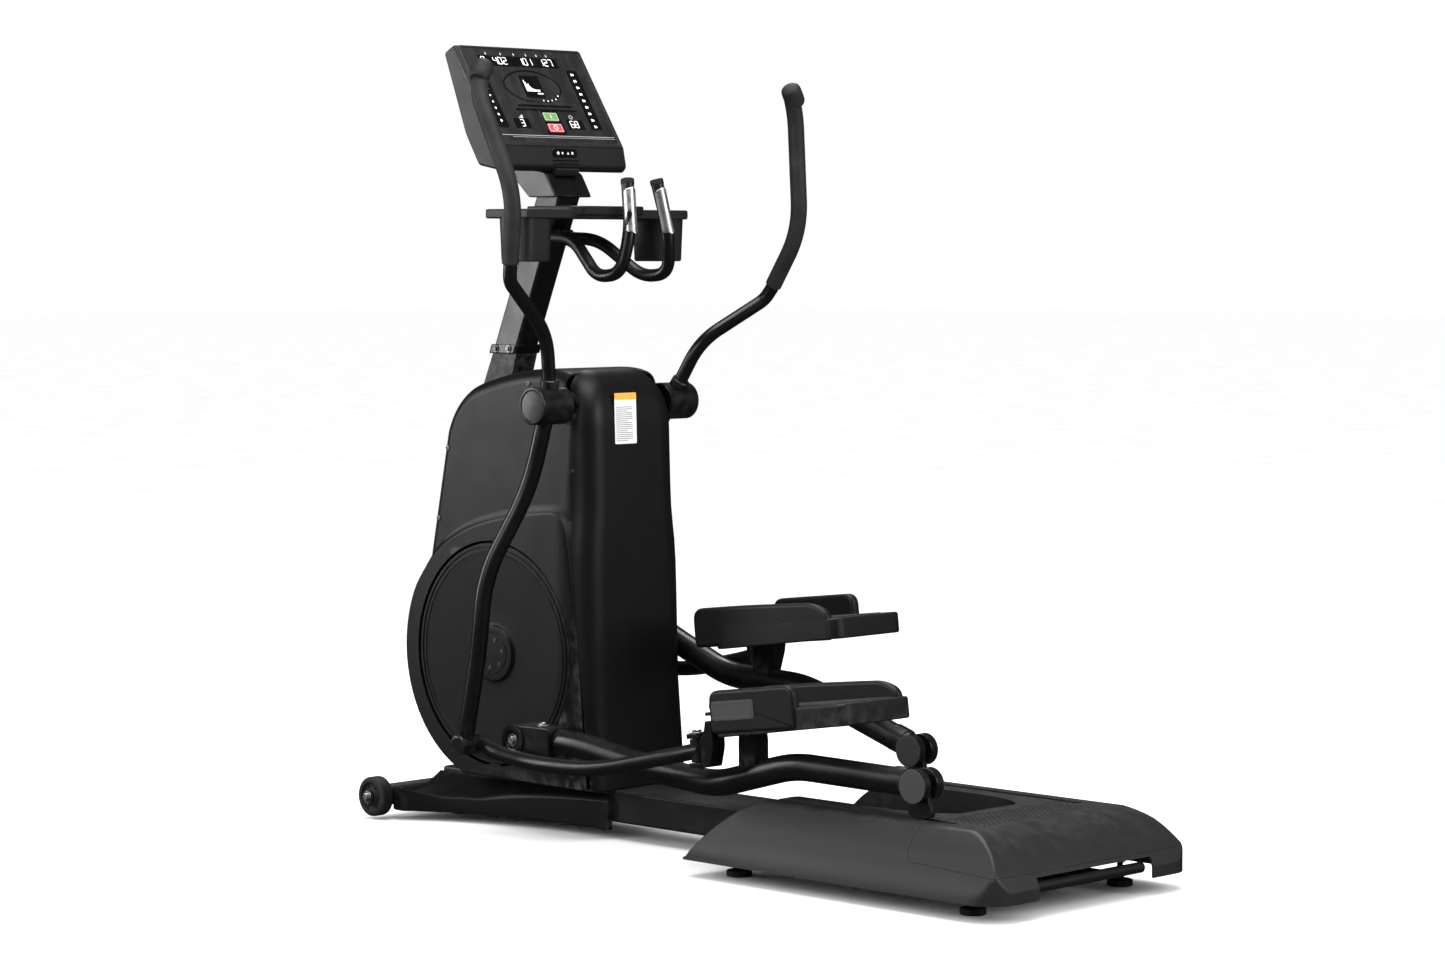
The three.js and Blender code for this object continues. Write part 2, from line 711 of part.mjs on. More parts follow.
function addCarriage(name, sign, state) {
  const x = state.rollerX;
  const z = RAIL.rollerZ;
  const y = -RAIL.y;
  const rollerZ = TRACK.floorZ + ROLLER.radius + 0.2;
  const head = [
    [x - 12, 178],
    [x - 34, 182],
    [x - 34, 192],
    [x - 24, z - 30],
    [x - 20, z + 8],
    [x - 12, z + 19],
  ];
  const blade = [[x - 12, rollerZ - 12]];
  const half = [...blade, ...head];
  const other = half.map(([px, pz]) => [2 * x - px, pz]).reverse();
  const web = slabY(outline([...half, ...other]), y - 7, y + 7);
  const eye = barY(11.5, x, y - 10, y + 10, z, 12);
  const spigot = barY(8, x, y - 28, y - 6, rollerZ, 12);
  place("roller_carriage_" + name, onSide(join(cut(web, eye), spigot), sign), coatBlack);
  const wheel = barY(ROLLER.radius, x, y - 26, y - 9, rollerZ, 18);
  const bore = barY(ROLLER.bore, x, y - 30, y - 5, rollerZ, 12);
  place("track_roller_" + name, onSide(cut(wheel, bore), sign), rubberBlack);
}

// Pedal sizes, from its hinge: along the link, across, and up from the hinge's centre.
const PEDAL = {
  innerY: -50,
  outerY: -290,
  innerFront: -112,
  innerRear: 315,
  outerFront: -53,
  outerRear: 204,
  deckRear: 340,
  inset: 8,
  rimZ: -20,
  deckZ: 36,
  plate: 8,
};

function wallOutline(front, rear, z0, z1, tail) {
  const shape = new THREE.Shape();
  shape.moveTo(front + 16, z0);
  shape.lineTo(rear, z0);
  shape.lineTo(rear, z1 - tail);
  shape.quadraticCurveTo(rear, z1, rear - tail, z1);
  shape.lineTo(front + 26, z1);
  shape.quadraticCurveTo(front, z1, front, z1 - 26);
  shape.lineTo(front, z0 + 16);
  shape.quadraticCurveTo(front, z0, front + 16, z0);
  return shape;
}

// A shallow tray open below, with a wall on each long side and a low one at the toe.
function pedalSolid() {
  const { innerY, outerY, inset, innerFront, outerFront, deckRear, rimZ, deckZ, plate } = PEDAL;
  const rim = slabZ(roundRect(outerFront, deckRear, outerY + inset, innerY, 34), rimZ, deckZ, 4);
  const hollowPlan = roundRect(
    outerFront - 60,
    deckRear - plate,
    outerY + inset + plate,
    innerY - plate,
    26,
  );
  const hollow = slabZ(hollowPlan, rimZ - 10, deckZ - plate, 4);
  const toePlate = slabZ(roundRect(innerFront + 4, 20, outerY + 40, innerY, 10), 28, deckZ, 3);
  const outerWall = slabY(
    wallOutline(outerFront, PEDAL.outerRear, -12, 84, 28),
    outerY,
    outerY + 28,
    6,
    0,
    4,
  );
  const innerWall = slabY(
    wallOutline(innerFront, PEDAL.innerRear, -14, 78, 30),
    innerY - 24,
    innerY,
    6,
    0,
    4,
  );
  const toe = box(innerFront + 4, innerFront + 22, outerY + 60, innerY - 12, 28, 70);
  return join(cut(rim, hollow), toePlate, outerWall, innerWall, toe);
}

function addPedalSide(name, sign, state) {
  const group = turnedGroup(state.hinge.x, state.hinge.y, state.linkAngle);
  place("pedal_" + name, onSide(pedalSolid(), sign), shellBlack, group);

  const y = -RAIL.y;
  const cheeks = [
    slabY(cheekOutline(), y - 42, y - 25),
    slabY(cheekOutline(), y + 25, y + 42),
  ];
  const pin = barY(9, 0, y - 44, y + 44, 0, 12);
  const head = box(-88, -44, y - 42, y + 42, -16, 22);
  const clevisX = -122;
  const clevisZ = -46;
  const clevisY = -260;
  const block = join(
    slabY(clevisOutline(), clevisY - 20, clevisY + 20),
    box(clevisX - 20, clevisX + 26, clevisY - 22, clevisY + 22, clevisZ + 27, clevisZ + 38),
    box(clevisX - 20, clevisX + 26, clevisY - 22, clevisY + 22, clevisZ - 38, clevisZ - 27),
    barZ(8, clevisX, clevisY, clevisZ - 44, clevisZ + 46, 12),
  );
  const bracket = join(...cheeks, pin, head, block);
  place("pedal_bracket_" + name, onSide(bracket, sign), coatBlack, group);

  const eyeX = -LINK_LENGTH;
  const bar = tube(
    [
      [eyeX + 16, -260, -4],
      [eyeX + 90, -276, -26],
      [eyeX + 250, -318, -52],
      [eyeX + 450, -318, -76],
      [clevisX - 60, clevisY - 22, clevisZ - 8],
      [clevisX + 2, clevisY, clevisZ],
    ],
    18,
    110,
  );
  const eye = barY(24, eyeX, -279.4, -254, 0, 14);
  const lug = barZ(18, clevisX, clevisY, clevisZ - 26, clevisZ + 26, 12);
  const pinHole = barZ(8.8, clevisX, clevisY, clevisZ - 60, clevisZ + 60, 12);
  const link = cut(join(bar, eye, lug), pinHole);
  place("connecting_link_" + name, onSide(link, sign), coatBlack, group);
}

// The web that steps down from the bracket's head to the clevis.
function clevisOutline() {
  return outline([
    [-98, -84],
    [-72, -84],
    [-56, -40],
    [-56, 18],
    [-76, 18],
    [-84, -10],
    [-98, -22],
  ]);
}

function cheekOutline() {
  return outline([
    [-20, -18],
    [14, -20],
    [30, -4],
    [80, 14],
    [80, 27],
    [-46, 27],
    [-86, 20],
    [-86, -12],
    [-48, -14],
  ]);
}

// ---- Swing arms ----
function addArmSide({ name, sign, phase }) {
  const lean = linkage(phase).armAngle - deg(ARM.restAngle);
  const arm = turnedGroup(ARM.x, ARM.z, -lean);
  const footX = -ARM.lever * Math.sin(deg(ARM.restAngle));
  const footZ = -ARM.lever * Math.cos(deg(ARM.restAngle));

  const hub = barY(ARM.hubRadius, 0, -253, -158, 0, 16);
  const bore = barY(14.8, 0, -248, -150, 0, 14);
  const socket = tube(
    [
      [2, -200, 20],
      [9, -203, 62],
    ],
    22,
    10,
    12,
  );
  const lower = tube(
    [
      [-10, -200, -24],
      [-47, -216, -192],
      [-128, -286, -400],
      [-141, -292, -572],
      [footX, -300, footZ],
    ],
    20,
    90,
    10,
  );
  const foot = barY(24, footX, -324, -280, footZ, 14);
  const linkSpace = box(footX - 60, footX + 60, -279.9, -200, footZ - 60, footZ + 40);
  const handleHole = tube([[3.8, -200.8, 38], ...handlePoints().slice(1)], 16.7);
  const armBody = cut(join(hub, socket, lower, foot), bore, linkSpace, handleHole);
  place("swing_arm_" + name, onSide(armBody, sign), coatBlack, arm);

  const gripBore = tube(handlePoints(), 16.7);
  place("arm_handle_" + name, onSide(tube(handlePoints(), 16), sign), coatBlack, arm);
  const grip = tube(gripPoints(), 19.5, 70, 12, 3);
  const knob = tube(
    [
      [-66, -356, 748],
      [-76, -322, 790],
    ],
    24,
    10,
    12,
  );
  place("arm_grip_" + name, onSide(cut(join(grip, knob), gripBore), sign), softGrip, arm);
}

const handlePoints = () => [
  [4, -201, 40],
  [13, -216, 165],
  [40, -356, 287],
  [47, -361, 322],
  [56, -363, 400],
];

const gripPoints = () => [
  [47, -361, 325],
  [66, -365, 483],
  [-60, -361, 719],
  [-76, -330, 780],
];

// ---- Rear base ----
function coverSection(inset) {
  const { halfWidth: w, topHalf: t, z0, topZ } = COVER;
  return outline([
    [-w + inset, z0 - (inset ? 2 : 0)],
    [w - inset, z0 - (inset ? 2 : 0)],
    [w - inset - 4, z0 + 26],
    [t + 26 - inset, topZ - 22 - inset],
    [t - inset, topZ - inset],
    [-t + inset, topZ - inset],
    [-t - 26 + inset, topZ - 22 - inset],
    [-w + inset + 4, z0 + 26],
  ]);
}

function coverProfile(inset) {
  const { noseX, endX, z0, topZ } = COVER;
  const shape = new THREE.Shape();
  shape.moveTo(noseX + inset * 3, z0 - 3);
  shape.quadraticCurveTo(noseX + 70, z0 + 110, noseX + 175 + inset, topZ + 3 - inset);
  shape.lineTo(870, topZ + 3 - inset);
  shape.quadraticCurveTo(985 - inset, topZ - inset, endX - inset, z0 + 24);
  shape.lineTo(endX - inset, z0 - 3);
  return shape;
}

function coverBlock(inset) {
  const length = COVER.endX - COVER.noseX;
  const geometry = new THREE.ExtrudeGeometry(coverSection(inset), {
    depth: length + 40,
    bevelEnabled: false,
  });
  geometry.rotateX(Math.PI / 2);
  geometry.rotateZ(Math.PI / 2);
  geometry.translate(COVER.noseX - 20, 0, 0);
  const section = solidOf(geometry);
  const side = slabY(coverProfile(inset), -400, 400, 0, 0, 5);
  const plan = slabZ(
    roundRect(COVER.noseX - 100, COVER.endX - inset, -COVER.halfWidth, COVER.halfWidth, 70),
    0,
    300,
    4,
  );
  return section.intersect(side).intersect(plan);
}

function addBaseCover() {
  const recessOutline = (grow) => {
    const shape = new THREE.Shape();
    const y = 150 + grow;
    shape.moveTo(0, -y);
    shape.lineTo(560, -y);
    shape.quadraticCurveTo(690, -y, 730 + grow, -y + 60);
    shape.lineTo(730 + grow, y - 60);
    shape.quadraticCurveTo(690, y, 560, y);
    shape.lineTo(0, y);
    return shape;
  };
  const recess = slabZ(recessOutline(0), -10, 300, 5);
  const keptWall = slabZ(recessOutline(COVER.wall), -20, 310, 5);
  const hollow = coverBlock(COVER.wall).subtract(keptWall);
  const grooves = [-1, 1].map((s) => {
    const y = s * GROOVE.y;
    return box(GROOVE.x0, GROOVE.x1, y - GROOVE.halfWidth, y + GROOVE.halfWidth, 124, 200);
  });
  const beamSlot = box(700, 960, -BEAM.halfWidth - 3, BEAM.halfWidth + 3, 0, BEAM.z1 + 2);
  const handlePocket = box(975, 1040, -190, 190, 30, 84);
  const treadFloor = COVER.topZ - TREAD.depth;
  const treadPocket = box(TREAD.x0, TREAD.x1, -TREAD.halfWidth, TREAD.halfWidth, treadFloor, 200);
  const reach = CROSSBAR.halfDepth + 3;
  const barSlot = box(
    CROSSBAR.front - reach,
    CROSSBAR.front + reach,
    -CROSSBAR.halfLength - 3,
    CROSSBAR.halfLength + 3,
    0,
    CROSSBAR.z1 + 3,
  );
  const shell = cut(coverBlock(0), recess, hollow, ...grooves, beamSlot, barSlot);
  const cap = slabY(
    outline([
      [778, 104],
      [1060, 92],
      [1060, 260],
      [762, 260],
      [762, 120],
    ]),
    -400,
    400,
  );
  const capGap = slabY(
    outline([
      [778, 104 - GAP],
      [1060, 92 - GAP],
      [1060, 260],
      [762 - GAP, 260],
      [762 - GAP, 120],
    ]),
    -400,
    400,
  );
  place("base_cover", biggest(cut(shell, capGap, handlePocket)), coverGrey);
  place("rear_step_cover", biggest(cut(shell.intersect(cap), treadPocket)), coverGrey);
  place(
    "step_tread",
    box(
      TREAD.x0 + GAP,
      TREAD.x1 - GAP,
      -TREAD.halfWidth + GAP,
      TREAD.halfWidth - GAP,
      treadFloor + GAP,
      COVER.topZ + TREAD.proud,
    ),
    rubberBlack,
  );
  const handle = join(
    barY(12, 1004, -180, 180, 60, 16),
    box(BEAM.x1 - 4, 1004, -64, -40, 52, 68),
    box(BEAM.x1 - 4, 1004, 40, 64, 52, 68),
  );
  place("lift_handle", cut(handle, box(0, BEAM.x1 + GAP, -100, 100, 0, 200)), coatBlack);
}

function addTracks() {
  const { x0, x1, y0, y1, floorZ, topZ } = TRACK;
  const lip = 5;
  const z0 = CROSSBAR.z1 + GAP;
  const channel = cut(
    box(x0, x1, y0, y1, z0, topZ),
    box(x0 - 10, x1 + 10, y0 + lip, y1 - lip, floorZ, topZ + 10),
  );
  const footHoles = [CROSSBAR.front, CROSSBAR.rear].map((x) =>
    barZ(16, x, -FOOT.y, z0 - 1, topZ + 10, 12),
  );
  for (const { name, sign } of SIDES) {
    place("roller_track_" + name, onSide(cut(channel, ...footHoles), sign), darkSteel);
  }
}

addBeam();
addCrossbars();
addStabiliser();
addWheels();
addFeet();
addFrontCovers();
addInnerFrame();
addDrive();
addCrankDiscs();
addHousing();
addMast();
addConsole();
addTray();
addHandlebar();
addBaseCover();
addTracks();
SIDES.forEach(addRailSide);
SIDES.forEach(addArmSide);

export default trainer;
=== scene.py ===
# The looks of a front-drive elliptical trainer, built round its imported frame.
# Frame: +Z up, -X towards the console, -Y on the user's left. Shapes are drawn in
# millimetres and scaled to metres when a piece is made. Pairs are drawn on the left.
import json
import math

import bmesh
import bpy
from mathutils import Matrix, Vector


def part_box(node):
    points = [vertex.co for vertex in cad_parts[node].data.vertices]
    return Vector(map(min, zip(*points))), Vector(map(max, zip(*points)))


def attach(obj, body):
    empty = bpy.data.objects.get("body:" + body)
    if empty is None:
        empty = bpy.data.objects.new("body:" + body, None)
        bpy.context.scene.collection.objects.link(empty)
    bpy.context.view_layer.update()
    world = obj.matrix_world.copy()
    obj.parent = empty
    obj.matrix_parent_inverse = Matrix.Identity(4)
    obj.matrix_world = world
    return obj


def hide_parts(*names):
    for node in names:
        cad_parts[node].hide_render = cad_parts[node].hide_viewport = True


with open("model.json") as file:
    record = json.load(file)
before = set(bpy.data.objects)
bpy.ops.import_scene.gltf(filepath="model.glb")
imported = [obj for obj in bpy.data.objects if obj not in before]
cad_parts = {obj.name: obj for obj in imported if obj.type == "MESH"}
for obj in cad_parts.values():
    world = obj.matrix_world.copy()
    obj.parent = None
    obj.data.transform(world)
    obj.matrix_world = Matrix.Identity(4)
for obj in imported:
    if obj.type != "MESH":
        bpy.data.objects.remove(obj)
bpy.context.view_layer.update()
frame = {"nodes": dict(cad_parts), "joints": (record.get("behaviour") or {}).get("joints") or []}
NODES = frame["nodes"]
JOINTS = {joint["name"]: joint for joint in frame["joints"]}

MM = 0.001

# ---- Driving sizes, the frame's own ----
SIDES = (("left", 1), ("right", -1))
CRANK_X, CRANK_Z = (1000 * JOINTS["crank_turn"]["pos_m"][i] for i in (0, 2))
CRANK_PHASE = {"left": 41, "right": 221}
THROW = 245
RAIL_LENGTH, RAIL_Y, RAIL_RADIUS, ROLLER_Z = 1232, -205, 30, 247
HINGE_ALONG, HINGE_ABOVE = 740, 90
ARM_X, ARM_Z, ARM_LEVER, ARM_REST = -438, 1015, 819, 13.04
LINK_LENGTH = 856
MAST_X, MAST_Z, MAST_LEAN = -770, 1134, 0.42
PANEL_TOP, PANEL_LOW = Vector((-754, 0, 1861)), Vector((-597, 0, 1621))


def mast_x(z):
    return MAST_X + MAST_LEAN * (z - MAST_Z)


# ---- Places: functions that carry a drawn point to its place in the frame ----
def upright(flip):
    """Drawn on the left; flip is -1 for the mirror copy on the right."""
    return lambda p: Vector((p[0], p[1] * flip, p[2]))


def turned_place(x, z, angle, flip):
    """A drawing whose own +X leans up by angle, with its origin at (x, z)."""
    c, s = math.cos(angle), math.sin(angle)
    return lambda p: Vector((x + c * p[0] - s * p[2], p[1] * flip, z + s * p[0] + c * p[2]))


def on_panel(p):
    """A point of the console's face: down the slope, across, and out of the face."""
    down = (PANEL_LOW - PANEL_TOP).normalized()
    out = Vector((-down.z, 0, down.x))
    return PANEL_TOP + down * p[0] + Vector((0, p[1], 0)) + out * p[2]


def linkage(name):
    """Where one side's pin, pedal hinge, link, arm and roller stand at rest."""
    turn = math.radians(CRANK_PHASE[name])
    pin = Vector((CRANK_X + THROW * math.sin(turn), CRANK_Z - THROW * math.cos(turn)))
    rail = math.asin((ROLLER_Z - pin.y) / RAIL_LENGTH)
    hinge = pin + Matrix.Rotation(rail, 2) @ Vector((HINGE_ALONG, HINGE_ABOVE))
    pivot = Vector((ARM_X, ARM_Z))
    span = (pivot - hinge).length
    along = (LINK_LENGTH**2 - ARM_LEVER**2 + span**2) / (2 * span)
    off = math.sqrt(LINK_LENGTH**2 - along**2)
    unit = (pivot - hinge) / span
    foot = hinge + unit * along + Vector((-unit.y, unit.x)) * off
    return {
        "pin": pin,
        "rail": rail,
        "hinge": hinge,
        "link": math.atan2(hinge.y - foot.y, hinge.x - foot.x),
        "arm": math.radians(ARM_REST) - math.atan2(pivot.x - foot.x, pivot.y - foot.y),
        "roller_x": pin.x + RAIL_LENGTH * math.cos(rail),
    }


# ---- Shapes ----
def loft(bm, rings, capped=True):
    """Quads between rings of points; the first and last ring are filled."""
    made = [[bm.verts.new(p) for p in ring] for ring in rings]
    count = len(made[0])
    for near, far in zip(made, made[1:]):
        for i in range(count):
            j = (i + 1) % count
            bm.faces.new((near[i], near[j], far[j], far[i]))
    if capped:
        bm.faces.new(reversed(made[0]))
        bm.faces.new(made[-1])


def soften_path(points, bend, steps):
    """The points with every inner corner rounded by a curve."""
    corners = [Vector(p) for p in points]
    path = [corners[0]]
    for before, corner, after in zip(corners, corners[1:], corners[2:]):
        back, on = before - corner, after - corner
        reach = min(bend, back.length * 0.45, on.length * 0.45)
        start, end = corner + back.normalized() * reach, corner + on.normalized() * reach
        for i in range(steps + 1):
            t = i / steps
            path.append(start * (1 - t) ** 2 + corner * 2 * t * (1 - t) + end * t * t)
    path.append(corners[-1])
    return path


def tube(bm, points, radius, bend=60, sides=32, steps=8, rim=2.0):
    """A bent round tube with slightly rounded ends. radius may be a function of 0..1."""
    path = soften_path(points, bend, steps)
    size = radius if callable(radius) else lambda t: radius
    rings = []
    for i, point in enumerate(path):
        ahead, behind = path[min(i + 1, len(path) - 1)], path[max(i - 1, 0)]
        along = (ahead - behind).normalized()
        across = (Vector((0, 1, 0)) - along * along.y).normalized()
        up = along.cross(across)
        r = size(i / (len(path) - 1))
        spots = [(point, r)]
        if i == 0:
            spots = [(point, r - rim), (point + along * rim, r)]
        elif i == len(path) - 1:
            spots = [(point - along * rim, r), (point, r - rim)]
        for centre, reach in spots:
            ring = []
            for k in range(sides):
                turn = 2 * math.pi * k / sides
                ring.append(centre + across * (reach * math.cos(turn)) + up * (reach * math.sin(turn)))
            rings.append(ring)
    loft(bm, rings)


def turned_y(bm, profile, x, z, sides=64):
    """A lathe round a line along Y. The profile is (radius, y), from one end to the other."""
    rings = []
    for radius, y in profile:
        ring = []
        for k in range(sides):
            turn = 2 * math.pi * k / sides
            ring.append(Vector((x + radius * math.cos(turn), y, z + radius * math.sin(turn))))
        rings.append(ring)
    loft(bm, rings)


def turned_z(bm, profile, x, y, sides=48):
    """A lathe round a line along Z. The profile is (radius, z)."""
    rings = []
    for radius, z in profile:
        ring = []
        for k in range(sides):
            turn = 2 * math.pi * k / sides
            ring.append(Vector((x + radius * math.cos(turn), y + radius * math.sin(turn), z)))
        rings.append(ring)
    loft(bm, rings)


def disc_profile(radius, y0, y1, rim=1.5):
    """A plain disc's profile with its two rims rounded."""
    step = rim if y1 > y0 else -rim
    return [
        (radius - rim, y0),
        (radius - 0.3 * rim, y0 + 0.3 * step),
        (radius, y0 + step),
        (radius, y1 - step),
        (radius - 0.3 * rim, y1 - 0.3 * step),
        (radius - rim, y1),
    ]


def bar_y(bm, radius, x, y0, y1, z, rim=1.5, sides=48):
    turned_y(bm, disc_profile(radius, y0, y1, rim), x, z, sides)


def soft_outline(corners, steps=6):
    """A closed outline from (a, b, radius) corners, each one rounded."""
    out = []
    count = len(corners)
    for i, (a, b, radius) in enumerate(corners):
        corner = Vector((a, b))
        back = Vector(corners[i - 1][:2]) - corner
        on = Vector(corners[(i + 1) % count][:2]) - corner
        reach = min(radius, back.length * 0.48, on.length * 0.48)
        if reach < 0.01:
            out.append(corner)
            continue
        start, end = corner + back.normalized() * reach, corner + on.normalized() * reach
        for k in range(steps + 1):
            t = k / steps
            out.append(start * (1 - t) ** 2 + corner * 2 * t * (1 - t) + end * t * t)
    return out


def shrink(outline, distance):
    """The outline moved inwards by distance, corner by corner."""
    area = sum(p.x * q.y - q.x * p.y for p, q in zip(outline, outline[1:] + outline[:1]))
    way = 1 if area > 0 else -1
    out = []
    for i, point in enumerate(outline):
        a = (point - outline[i - 1]).normalized()
        b = (outline[(i + 1) % len(outline)] - point).normalized()
        inward = Vector((-(a.y + b.y), a.x + b.x)) * way
        share = max(0.35, inward.length / 2)
        out.append(point + inward.normalized() * (distance / share))
    return out


def slab_rings(outline, low, high, rim, steps, place):
    rings = []
    levels = [
        (1 - math.cos(math.pi / 2 * k / steps), 1 - math.sin(math.pi / 2 * k / steps))
        for k in range(steps + 1)
    ]
    for rise, drawn_in in levels:
        rings.append([place(p, low + rim * rise) for p in shrink(outline, rim * drawn_in)])
    for rise, drawn_in in reversed(levels):
        rings.append([place(p, high - rim * rise) for p in shrink(outline, rim * drawn_in)])
    return rings


def slab_y(bm, outline, y0, y1, rim=2, steps=3):
    """A side outline (x, z) given a thickness along Y, with round rims."""
    loft(bm, slab_rings(outline, y0, y1, rim, steps, lambda p, y: Vector((p.x, y, p.y))))


def slab_z(bm, outline, z0, z1, rim=2, steps=3):
    """A plan outline (x, y) given a thickness along Z, with round rims."""
    loft(bm, slab_rings(outline, z0, z1, rim, steps, lambda p, z: Vector((p.x, p.y, z))))


def slab_x(bm, outline, x0, x1, rim=2, steps=3):
    """An end outline (y, z) given a thickness along X, with round rims."""
    loft(bm, slab_rings(outline, x0, x1, rim, steps, lambda p, x: Vector((x, p.x, p.y))))


def block(bm, x0, x1, y0, y1, z0, z1, rim=2, corner=None):
    """A box with rounded edges."""
    r = rim if corner is None else corner
    plan = [(x0, y0, r), (x1, y0, r), (x1, y1, r), (x0, y1, r)]
    slab_z(bm, soft_outline(plan, 4), z0, z1, rim)


# ---- Pieces ----
def make(name, draw, body, material, place=None, replaces=(), sharp=32):
    """Draws a piece in millimetres, puts it in its place and lets it ride on a body."""
    bm = bmesh.new()
    draw(bm)
    for vert in bm.verts:
        vert.co = (place(vert.co) if place else vert.co) * MM
    bmesh.ops.recalc_face_normals(bm, faces=bm.faces)
    mesh = bpy.data.meshes.new(name)
    bm.to_mesh(mesh)
    bm.free()
    piece = bpy.data.objects.new(name, mesh)
    bpy.context.scene.collection.objects.link(piece)
    return dress(piece, body, material, replaces, sharp)


def dress(piece, body, material, replaces=(), sharp=32):
    piece.data.materials.clear()
    piece.data.materials.append(material)
    for face in piece.data.polygons:
        face.material_index = 0
    piece.data.shade_smooth()
    piece.data.set_sharp_from_angle(angle=math.radians(sharp))
    weighted = piece.modifiers.new("even_normals", "WEIGHTED_NORMAL")
    weighted.keep_sharp = True
    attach(piece, body)
    if replaces:
        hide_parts(*replaces)
    return piece


def raw(name, draw):
    """A bare tool or blank for cutting, in metres, on no body yet."""
    bm = bmesh.new()
    draw(bm)
    bmesh.ops.scale(bm, vec=(MM, MM, MM), verts=bm.verts)
    bmesh.ops.recalc_face_normals(bm, faces=bm.faces)
    mesh = bpy.data.meshes.new(name)
    bm.to_mesh(mesh)
    bm.free()
    blank = bpy.data.objects.new(name, mesh)
    bpy.context.scene.collection.objects.link(blank)
    return blank


def combine(target, tool, operation, keep_tool=False):
    """Cuts, joins or intersects target with tool, and keeps the result as its mesh."""
    cutter = target.modifiers.new("cut", "BOOLEAN")
    cutter.operation = operation
    cutter.solver = "EXACT"
    cutter.object = tool
    bpy.context.view_layer.update()
    depsgraph = bpy.context.evaluated_depsgraph_get()
    result = bpy.data.meshes.new_from_object(target.evaluated_get(depsgraph))
    target.modifiers.clear()
    target.data = result
    if not keep_tool:
        bpy.data.objects.remove(tool)
    return target


def extruded(name, outline, low, high, axis):
    """A cutting block: an outline pulled straight from low to high along one axis."""
    def draw(bm):
        put = {"z": lambda p, d: Vector((p.x, p.y, d)), "y": lambda p, d: Vector((p.x, d, p.y))}[axis]
        loft(bm, [[put(p, low) for p in outline], [put(p, high) for p in outline]])
    return raw(name, draw)


def box_tool(name, x0, x1, y0, y1, z0, z1, corner=3):
    plan = soft_outline([(x0, y0, corner), (x1, y0, corner), (x1, y1, corner), (x0, y1, corner)], 3)
    return extruded(name, plan, z0, z1, "z")


def copy_of(piece, name):
    twin = piece.copy()
    twin.data = piece.data.copy()
    twin.name = name
    bpy.context.scene.collection.objects.link(twin)
    return twin


def bevel_edges(piece, width, segments=2, angle=40):
    """Rounds the piece's sharp edges a little."""
    bevel = piece.modifiers.new("edges", "BEVEL")
    bevel.width = width * MM
    bevel.segments = segments
    bevel.limit_method = "ANGLE"
    bevel.angle_limit = math.radians(angle)
    bevel.harden_normals = False
    bpy.context.view_layer.update()
    depsgraph = bpy.context.evaluated_depsgraph_get()
    result = bpy.data.meshes.new_from_object(piece.evaluated_get(depsgraph))
    piece.modifiers.clear()
    piece.data = result
    return piece


# ---- Effects that several materials share ----
def node(tree, kind, **settings):
    made = tree.nodes.new(kind)
    for key, value in settings.items():
        setattr(made, key, value)
    return made


def new_group(name, inputs, outputs):
    """An empty node group with numbered inputs; returns it with its two end nodes."""
    tree = bpy.data.node_groups.new(name, "ShaderNodeTree")
    for label, value in inputs:
        socket = tree.interface.new_socket(name=label, in_out="INPUT", socket_type="NodeSocketFloat")
        socket.default_value = value
    for label in outputs:
        tree.interface.new_socket(name=label, in_out="OUTPUT", socket_type="NodeSocketFloat")
    return tree, tree.nodes.new("NodeGroupInput"), tree.nodes.new("NodeGroupOutput")


def noise(tree, scale, detail, vector, roughness=0.5):
    """A noise texture; scale is a number or a socket."""
    made = node(tree, "ShaderNodeTexNoise")
    made.inputs["Detail"].default_value = detail
    made.inputs["Roughness"].default_value = roughness
    if isinstance(scale, (int, float)):
        made.inputs["Scale"].default_value = scale
    else:
        tree.links.new(scale, made.inputs["Scale"])
    tree.links.new(vector, made.inputs["Vector"])
    return made.outputs["Fac"]


def math_node(tree, operation, a, b=None, clamp=False):
    made = node(tree, "ShaderNodeMath", operation=operation, use_clamp=clamp)
    for socket, value in zip(made.inputs, (a, b)):
        if value is None:
            continue
        if isinstance(value, (int, float)):
            socket.default_value = value
        else:
            tree.links.new(value, socket)
    return made.outputs[0]


def between(tree, value, low, high, to_low=0.0, to_high=1.0):
    """Stretches value from low..high to to_low..to_high, held at both ends."""
    made = node(tree, "ShaderNodeMapRange")
    for label, number in (("From Min", low), ("From Max", high), ("To Min", to_low), ("To Max", to_high)):
        made.inputs[label].default_value = number
    tree.links.new(value, made.inputs["Value"])
    return made.outputs["Result"]


def moulded_grain():
    """The spark-eroded grain of a moulded cover: pits over a slow waviness."""
    tree, given, out = new_group(
        "Moulded Grain", (("Scale", 900.0), ("Waviness", 0.3)), ("Height", "Fleck"),
    )
    place = node(tree, "ShaderNodeTexCoord").outputs["Object"]
    cells = node(tree, "ShaderNodeTexVoronoi", feature="SMOOTH_F1")
    cells.inputs["Smoothness"].default_value = 0.6
    tree.links.new(given.outputs["Scale"], cells.inputs["Scale"])
    tree.links.new(place, cells.inputs["Vector"])
    slow = noise(tree, 9.0, 2, place)
    swell = math_node(tree, "MULTIPLY", slow, given.outputs["Waviness"])
    tree.links.new(math_node(tree, "ADD", cells.outputs["Distance"], swell), out.inputs["Height"])
    fleck = noise(tree, given.outputs["Scale"], 3, place)
    tree.links.new(fleck, out.inputs["Fleck"])
    return tree


